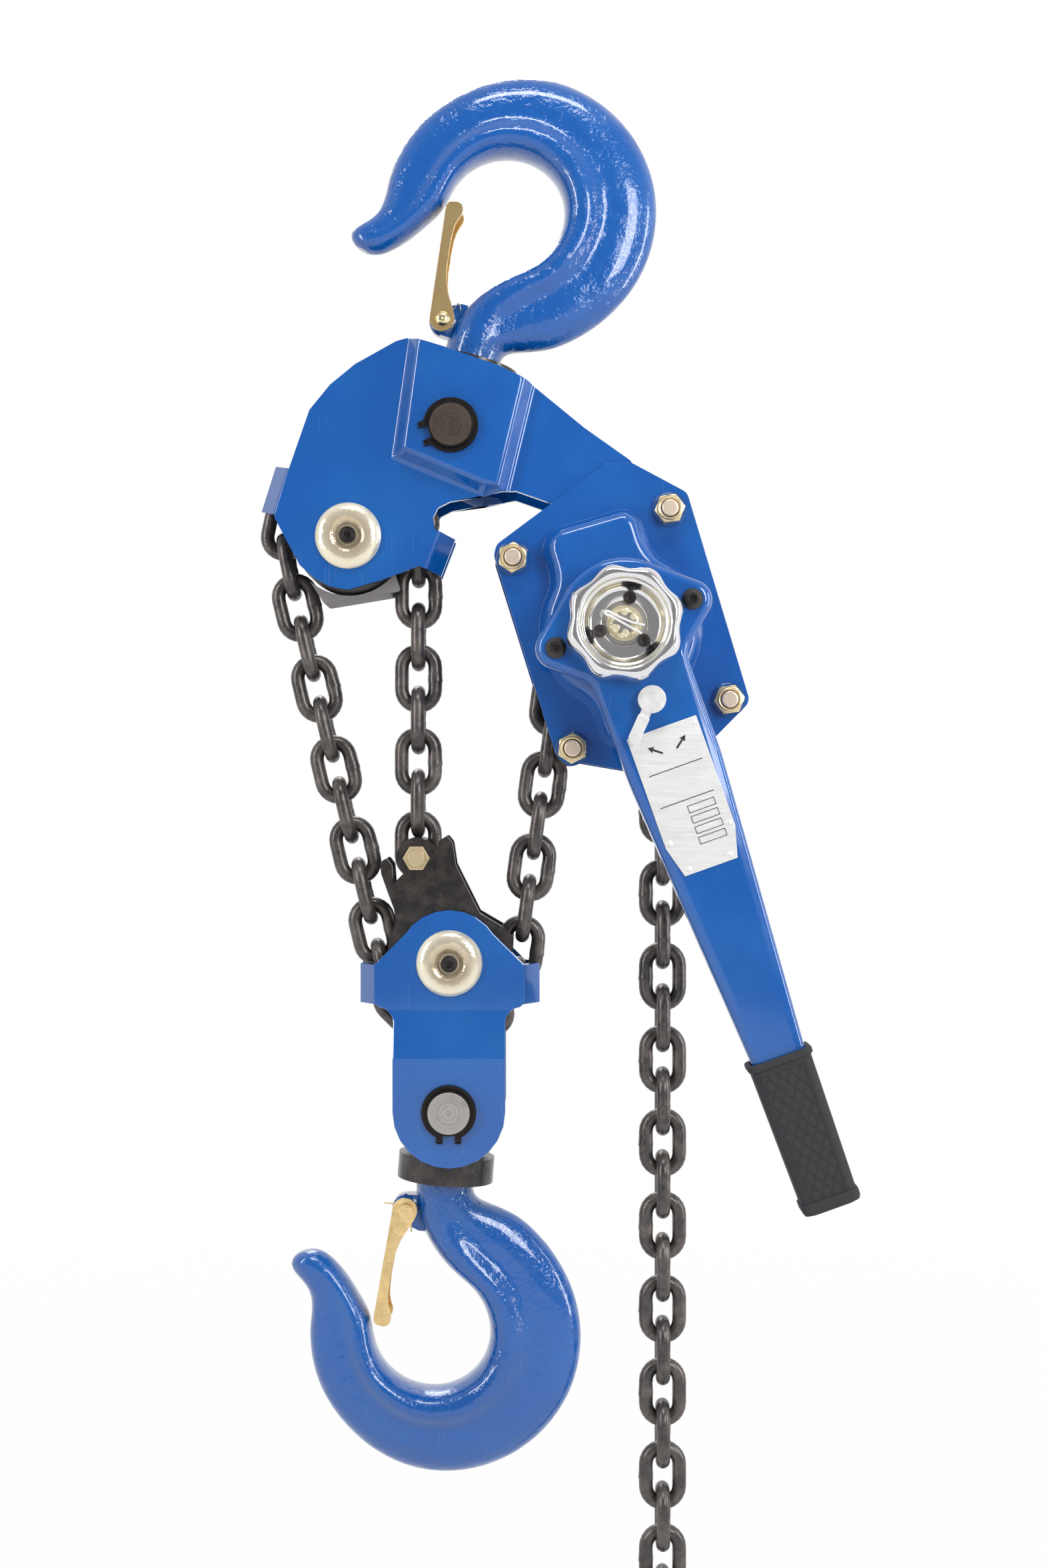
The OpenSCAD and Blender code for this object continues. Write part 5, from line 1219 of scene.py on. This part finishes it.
def link_mesh(sizes):
    """One link about its centre, long along X and flat in X-Z, with a weld on one side."""
    crown = (sizes.width - sizes.wire) / 2
    half = sizes.pitch / 2 + sizes.wire / 2 - crown
    path = []
    for k in range(11):
        x = -half + 2 * half * k / 10
        path.append((x, crown, 0.0, 1.0, x))
    for k in range(1, 12):
        a = math.pi / 2 - math.pi * k / 12
        path.append((half + crown * math.cos(a), crown * math.sin(a), math.pi / 2 - a, 0.0, 0.0))
    for k in range(7):
        path.append((half - 2 * half * k / 6, -crown, math.pi, 0.0, 0.0))
    for k in range(1, 12):
        a = -math.pi / 2 - math.pi * k / 12
        path.append((-half + crown * math.cos(a), crown * math.sin(a), math.pi / 2 - a, 0.0, 0.0))
    bm = bmesh.new()
    rings = []
    for x, z, turn, on_weld, along in path:
        out = Vector((math.sin(turn), 0, math.cos(turn)))
        ring = []
        for i in range(LINK_SIDES):
            a = 2 * math.pi * i / LINK_SIDES
            r = sizes.wire / 2
            if on_weld:
                # A flattened pad with a ridge at its middle
                near = math.exp(-(along / 0.0030) ** 2)
                ridge = math.exp(-((along - 0.0012) / 0.0007) ** 2)
                r += near * 0.00025 + ridge * sizes.weld * (0.6 + 0.4 * math.cos(a))
                r -= near * 0.00055 * max(0.0, abs(math.sin(a)) - 0.8) * 5
            skin = out * (r * math.cos(a)) + Vector((0, r * math.sin(a), 0))
            ring.append(bm.verts.new(Vector((x, 0, z)) + skin))
        rings.append(ring)
    join_rings(bm, rings, closed=True)
    bmesh.ops.recalc_face_normals(bm, faces=bm.faces)
    mesh = mesh_of(bm, "link")
    mesh.shade_smooth()
    return mesh


def link_places(node):
    """Centre and turn of each link of a chain node, measured on its solids."""
    bm = bmesh.new()
    bm.from_mesh(NODES[node].data)
    bmesh.ops.remove_doubles(bm, verts=bm.verts, dist=1e-6)
    bm.verts.ensure_lookup_table()
    seen, places = set(), []
    for vert in bm.verts:
        if vert.index in seen:
            continue
        island, queue = [], [vert]
        seen.add(vert.index)
        while queue:
            here = queue.pop()
            island.append(here.co.copy())
            for edge in here.link_edges:
                other = edge.other_vert(here)
                if other.index not in seen:
                    seen.add(other.index)
                    queue.append(other)
        cloud = np.array(island)
        low, high = cloud.min(0), cloud.max(0)
        centre = (low + high) / 2
        spread = cloud - cloud.mean(0)
        values, axes = np.linalg.eigh(spread.T @ spread)
        long, flat = Vector(axes[:, 2]), Vector(axes[:, 0])
        if long.z > 0:
            long = -long
        across = flat.cross(long)
        # The weld lies to the right of a face-on link and in front of an edge-on one
        if abs(across.y) > 0.5:
            if across.y > 0:
                flat, across = -flat, -across
        elif across.x < 0:
            flat, across = -flat, -across
        turn = Matrix((long, flat, across)).transposed().to_euler()
        places.append((Vector(centre), turn))
    bm.free()
    return places


def link_tree():
    """Copies of one link on points that carry their turn."""
    tree, start, end = new_group("Links on points", [
        ("Link", "NodeSocketObject", None), ("Size", "NodeSocketFloat", 1.0),
        ("Finish", "NodeSocketMaterial", None)])
    turn = add(tree, "GeometryNodeInputNamedAttribute", {"data_type": "FLOAT_VECTOR"}, Name="turn")
    info = add(tree, "GeometryNodeObjectInfo", Object=start.outputs["Link"])
    copies = add(tree, "GeometryNodeInstanceOnPoints", Points=start.outputs["Geometry"],
                 Instance=info.outputs["Geometry"], Rotation=turn.outputs["Attribute"],
                 Scale=start.outputs["Size"])
    real = add(tree, "GeometryNodeRealizeInstances", Geometry=copies.outputs[0])
    return colour_out(tree, start, end, real)


class HOIST_OT_chain(bpy.types.Operator):
    """Link up the load chain and its slack tail"""
    bl_idname = "hoist.chain"
    bl_label = "Chain"

    def execute(self, context):
        link = put_in_scene("link", link_mesh(context.scene.hoist_chain))
        tree = link_tree()
        for node, name in (("chain_falls", "fall_links"), ("chain_wraps", "idler_links"),
                           ("load_wrap", "sheave_links"), ("chain_tail", "tail_links")):
            places, turns = zip(*link_places(node))
            points = points_with(name, places, "turn", turns)
            piece = run_group(points, tree, link=link, size=1.0, finish=finish("chain oxide"))
            hand_over(piece, body_of(node), "black oxide", node)
        bpy.data.objects.remove(link)
        dressed("chain_end_ring", "zinc", "yellow zinc", round_off=0)
        return {"FINISHED"}


# ---------------------------------------------------------------- stage
CAMERA_AT = (0.01056, -1.568, -0.410)
LAMP_TARGET = Vector((0.0, 0.0, -0.40))
FLOOR_GAP = 0.03


def direct_rays(tree):
    """One for rays of the camera, of gloss and of transmission, and nought for the rest."""
    path = add(tree, "ShaderNodeLightPath").outputs
    seen = arithmetic(tree, "MAXIMUM", path["Is Camera Ray"], path["Is Glossy Ray"])
    return arithmetic(tree, "MAXIMUM", seen, path["Is Transmission Ray"])


def seen_white(name, colour, near):
    """A floor that camera and metal see near white, whiter far off, and that keeps shadows."""
    made = bpy.data.materials.new(name)
    made.use_nodes = True
    tree = made.node_tree
    tree.nodes.remove(tree.nodes["Principled BSDF"])
    away = add(tree, "ShaderNodeVectorMath", {"operation": "LENGTH"},
               i0=place_of(tree, scale=(1, 1, 0)))
    factor = times(tree, direct_rays(tree), ramp(tree, away.outputs["Value"], 0.6, 2.6, near, 1.0))
    plain = add(tree, "ShaderNodeBsdfDiffuse", Color=(*colour, 1))
    light = add(tree, "ShaderNodeEmission", Color=(1, 1, 1, 1), Strength=1.0)
    mixed = add(tree, "ShaderNodeMixShader", i0=factor, i1=plain.outputs[0], i2=light.outputs[0])
    tree.links.new(mixed.outputs[0], tree.nodes["Material Output"].inputs["Surface"])
    return made


def soft_box(name, place, size, watts):
    """A rectangular lamp that faces the middle of the hoist."""
    lamp = bpy.data.lights.new(name, "AREA")
    lamp.shape = "RECTANGLE"
    lamp.size, lamp.size_y = size
    lamp.energy = watts
    made = bpy.data.objects.new(name, lamp)
    bpy.context.scene.collection.objects.link(made)
    made.location = place
    made.rotation_euler = (LAMP_TARGET - Vector(place)).to_track_quat("-Z", "Y").to_euler()


class HOIST_OT_stage(bpy.types.Operator):
    """Set up the floor, the soft light and the camera"""
    bl_idname = "hoist.stage"
    bl_label = "Stage"

    def execute(self, context):
        scene, stage = context.scene, context.scene.hoist_stage
        lens = bpy.data.cameras.new("camera")
        lens.lens, lens.sensor_width, lens.sensor_fit = 50, 36, "AUTO"
        camera = bpy.data.objects.new("camera", lens)
        scene.collection.objects.link(camera)
        camera.location = CAMERA_AT
        camera.rotation_euler = (math.pi / 2, 0, 0)
        scene.camera = camera
        scene.view_settings.view_transform = "Standard"
        # Floor
        low = CAD_BOX[0][2] - FLOOR_GAP
        bm = bmesh.new()
        bmesh.ops.create_grid(bm, x_segments=1, y_segments=1, size=6)
        bmesh.ops.translate(bm, verts=bm.verts, vec=(0, 0, low))
        mesh = mesh_of(bm, "floor")
        mesh.materials.append(seen_white("floor white", (0.86, 0.86, 0.86), 0.965))
        put_in_scene("floor", mesh)
        # World: white to the camera; gloss sees white behind the hoist and a dim room in front
        world = bpy.data.worlds.new("studio")
        world.use_nodes = True
        tree = world.node_tree
        scene.world = world
        coords = add(tree, "ShaderNodeTexCoord").outputs["Generated"]
        way = add(tree, "ShaderNodeSeparateXYZ", Vector=coords)
        level = ramp(tree, way.outputs["Z"], -0.5, 0.9, stage.ambient * 0.75, stage.ambient * 1.15)
        grey = add(tree, "ShaderNodeBackground", Color=(0.95, 0.97, 1, 1), Strength=level)
        depth = ramp(tree, way.outputs["Y"], -0.8, 0.15, stage.room, 1.0)
        camera_ray = add(tree, "ShaderNodeLightPath").outputs["Is Camera Ray"]
        seen = arithmetic(tree, "MAXIMUM", camera_ray, depth)
        white = add(tree, "ShaderNodeBackground", Color=(1, 1, 1, 1), Strength=seen)
        chosen = add(tree, "ShaderNodeMixShader", i0=direct_rays(tree), i1=grey.outputs[0],
                     i2=white.outputs[0])
        tree.links.new(chosen.outputs[0], tree.nodes["World Output"].inputs["Surface"])
        for name, place, size, watts in (
                ("key", (1.05, -1.68, 0.22), (0.5, 0.95), stage.key),
                ("left_strip", (-1.56, -1.09, 0.05), (0.16, 1.3), stage.fill),
                ("right_strip", (1.84, -0.49, -0.2), (0.2, 1.4), stage.fill),
                ("top", (0.1, -1.0, 1.3), (1.0, 0.22), stage.fill * 0.85),
                ("behind", (-0.4, 1.9, 1.55), (1.2, 1.2), stage.fill * 1.8)):
            soft_box(name, place, size, watts)
        return {"FINISHED"}


class HOIST_PT_panel(bpy.types.Panel):
    """Panel that lists the hoist's groups of pieces"""
    bl_idname = "HOIST_PT_panel"
    bl_label = "Lever hoist"
    bl_space_type = "VIEW_3D"
    bl_region_type = "UI"
    bl_category = "Lever hoist"

    def draw(self, context):
        for name in STEPS:
            self.layout.operator("hoist." + name)
        for group in GROUPS:
            box = self.layout.box()
            for key in group[1].__annotations__:
                box.prop(getattr(context.scene, group[0]), key)


GROUPS = [
    ("hoist_paint", HoistPaint), ("hoist_metals", HoistMetals), ("hoist_chain", HoistChain),
    ("hoist_grip", HoistGrip), ("hoist_stage", HoistStage),
]
STEPS = ["stage", "hooks", "side_plates", "covers", "fasteners", "works", "swivels", "lever",
         "grip", "hand_wheel", "chain"]
CLASSES = [
    HoistPaint, HoistMetals, HoistChain, HoistGrip, HoistStage, HOIST_OT_stage, HOIST_OT_hooks,
    HOIST_OT_side_plates, HOIST_OT_covers, HOIST_OT_fasteners, HOIST_OT_works, HOIST_OT_swivels,
    HOIST_OT_lever, HOIST_OT_grip, HOIST_OT_hand_wheel, HOIST_OT_chain, HOIST_PT_panel,
]


def register():
    for kind in CLASSES:
        bpy.utils.register_class(kind)
    for name, kind in GROUPS:
        setattr(bpy.types.Scene, name, bpy.props.PointerProperty(type=kind))


def unregister():
    for name, kind in GROUPS:
        delattr(bpy.types.Scene, name)
    for kind in reversed(CLASSES):
        bpy.utils.unregister_class(kind)


def main():
    register()
    for step in STEPS:
        getattr(bpy.ops.hoist, step)()


if __name__ == "__main__":
    main()
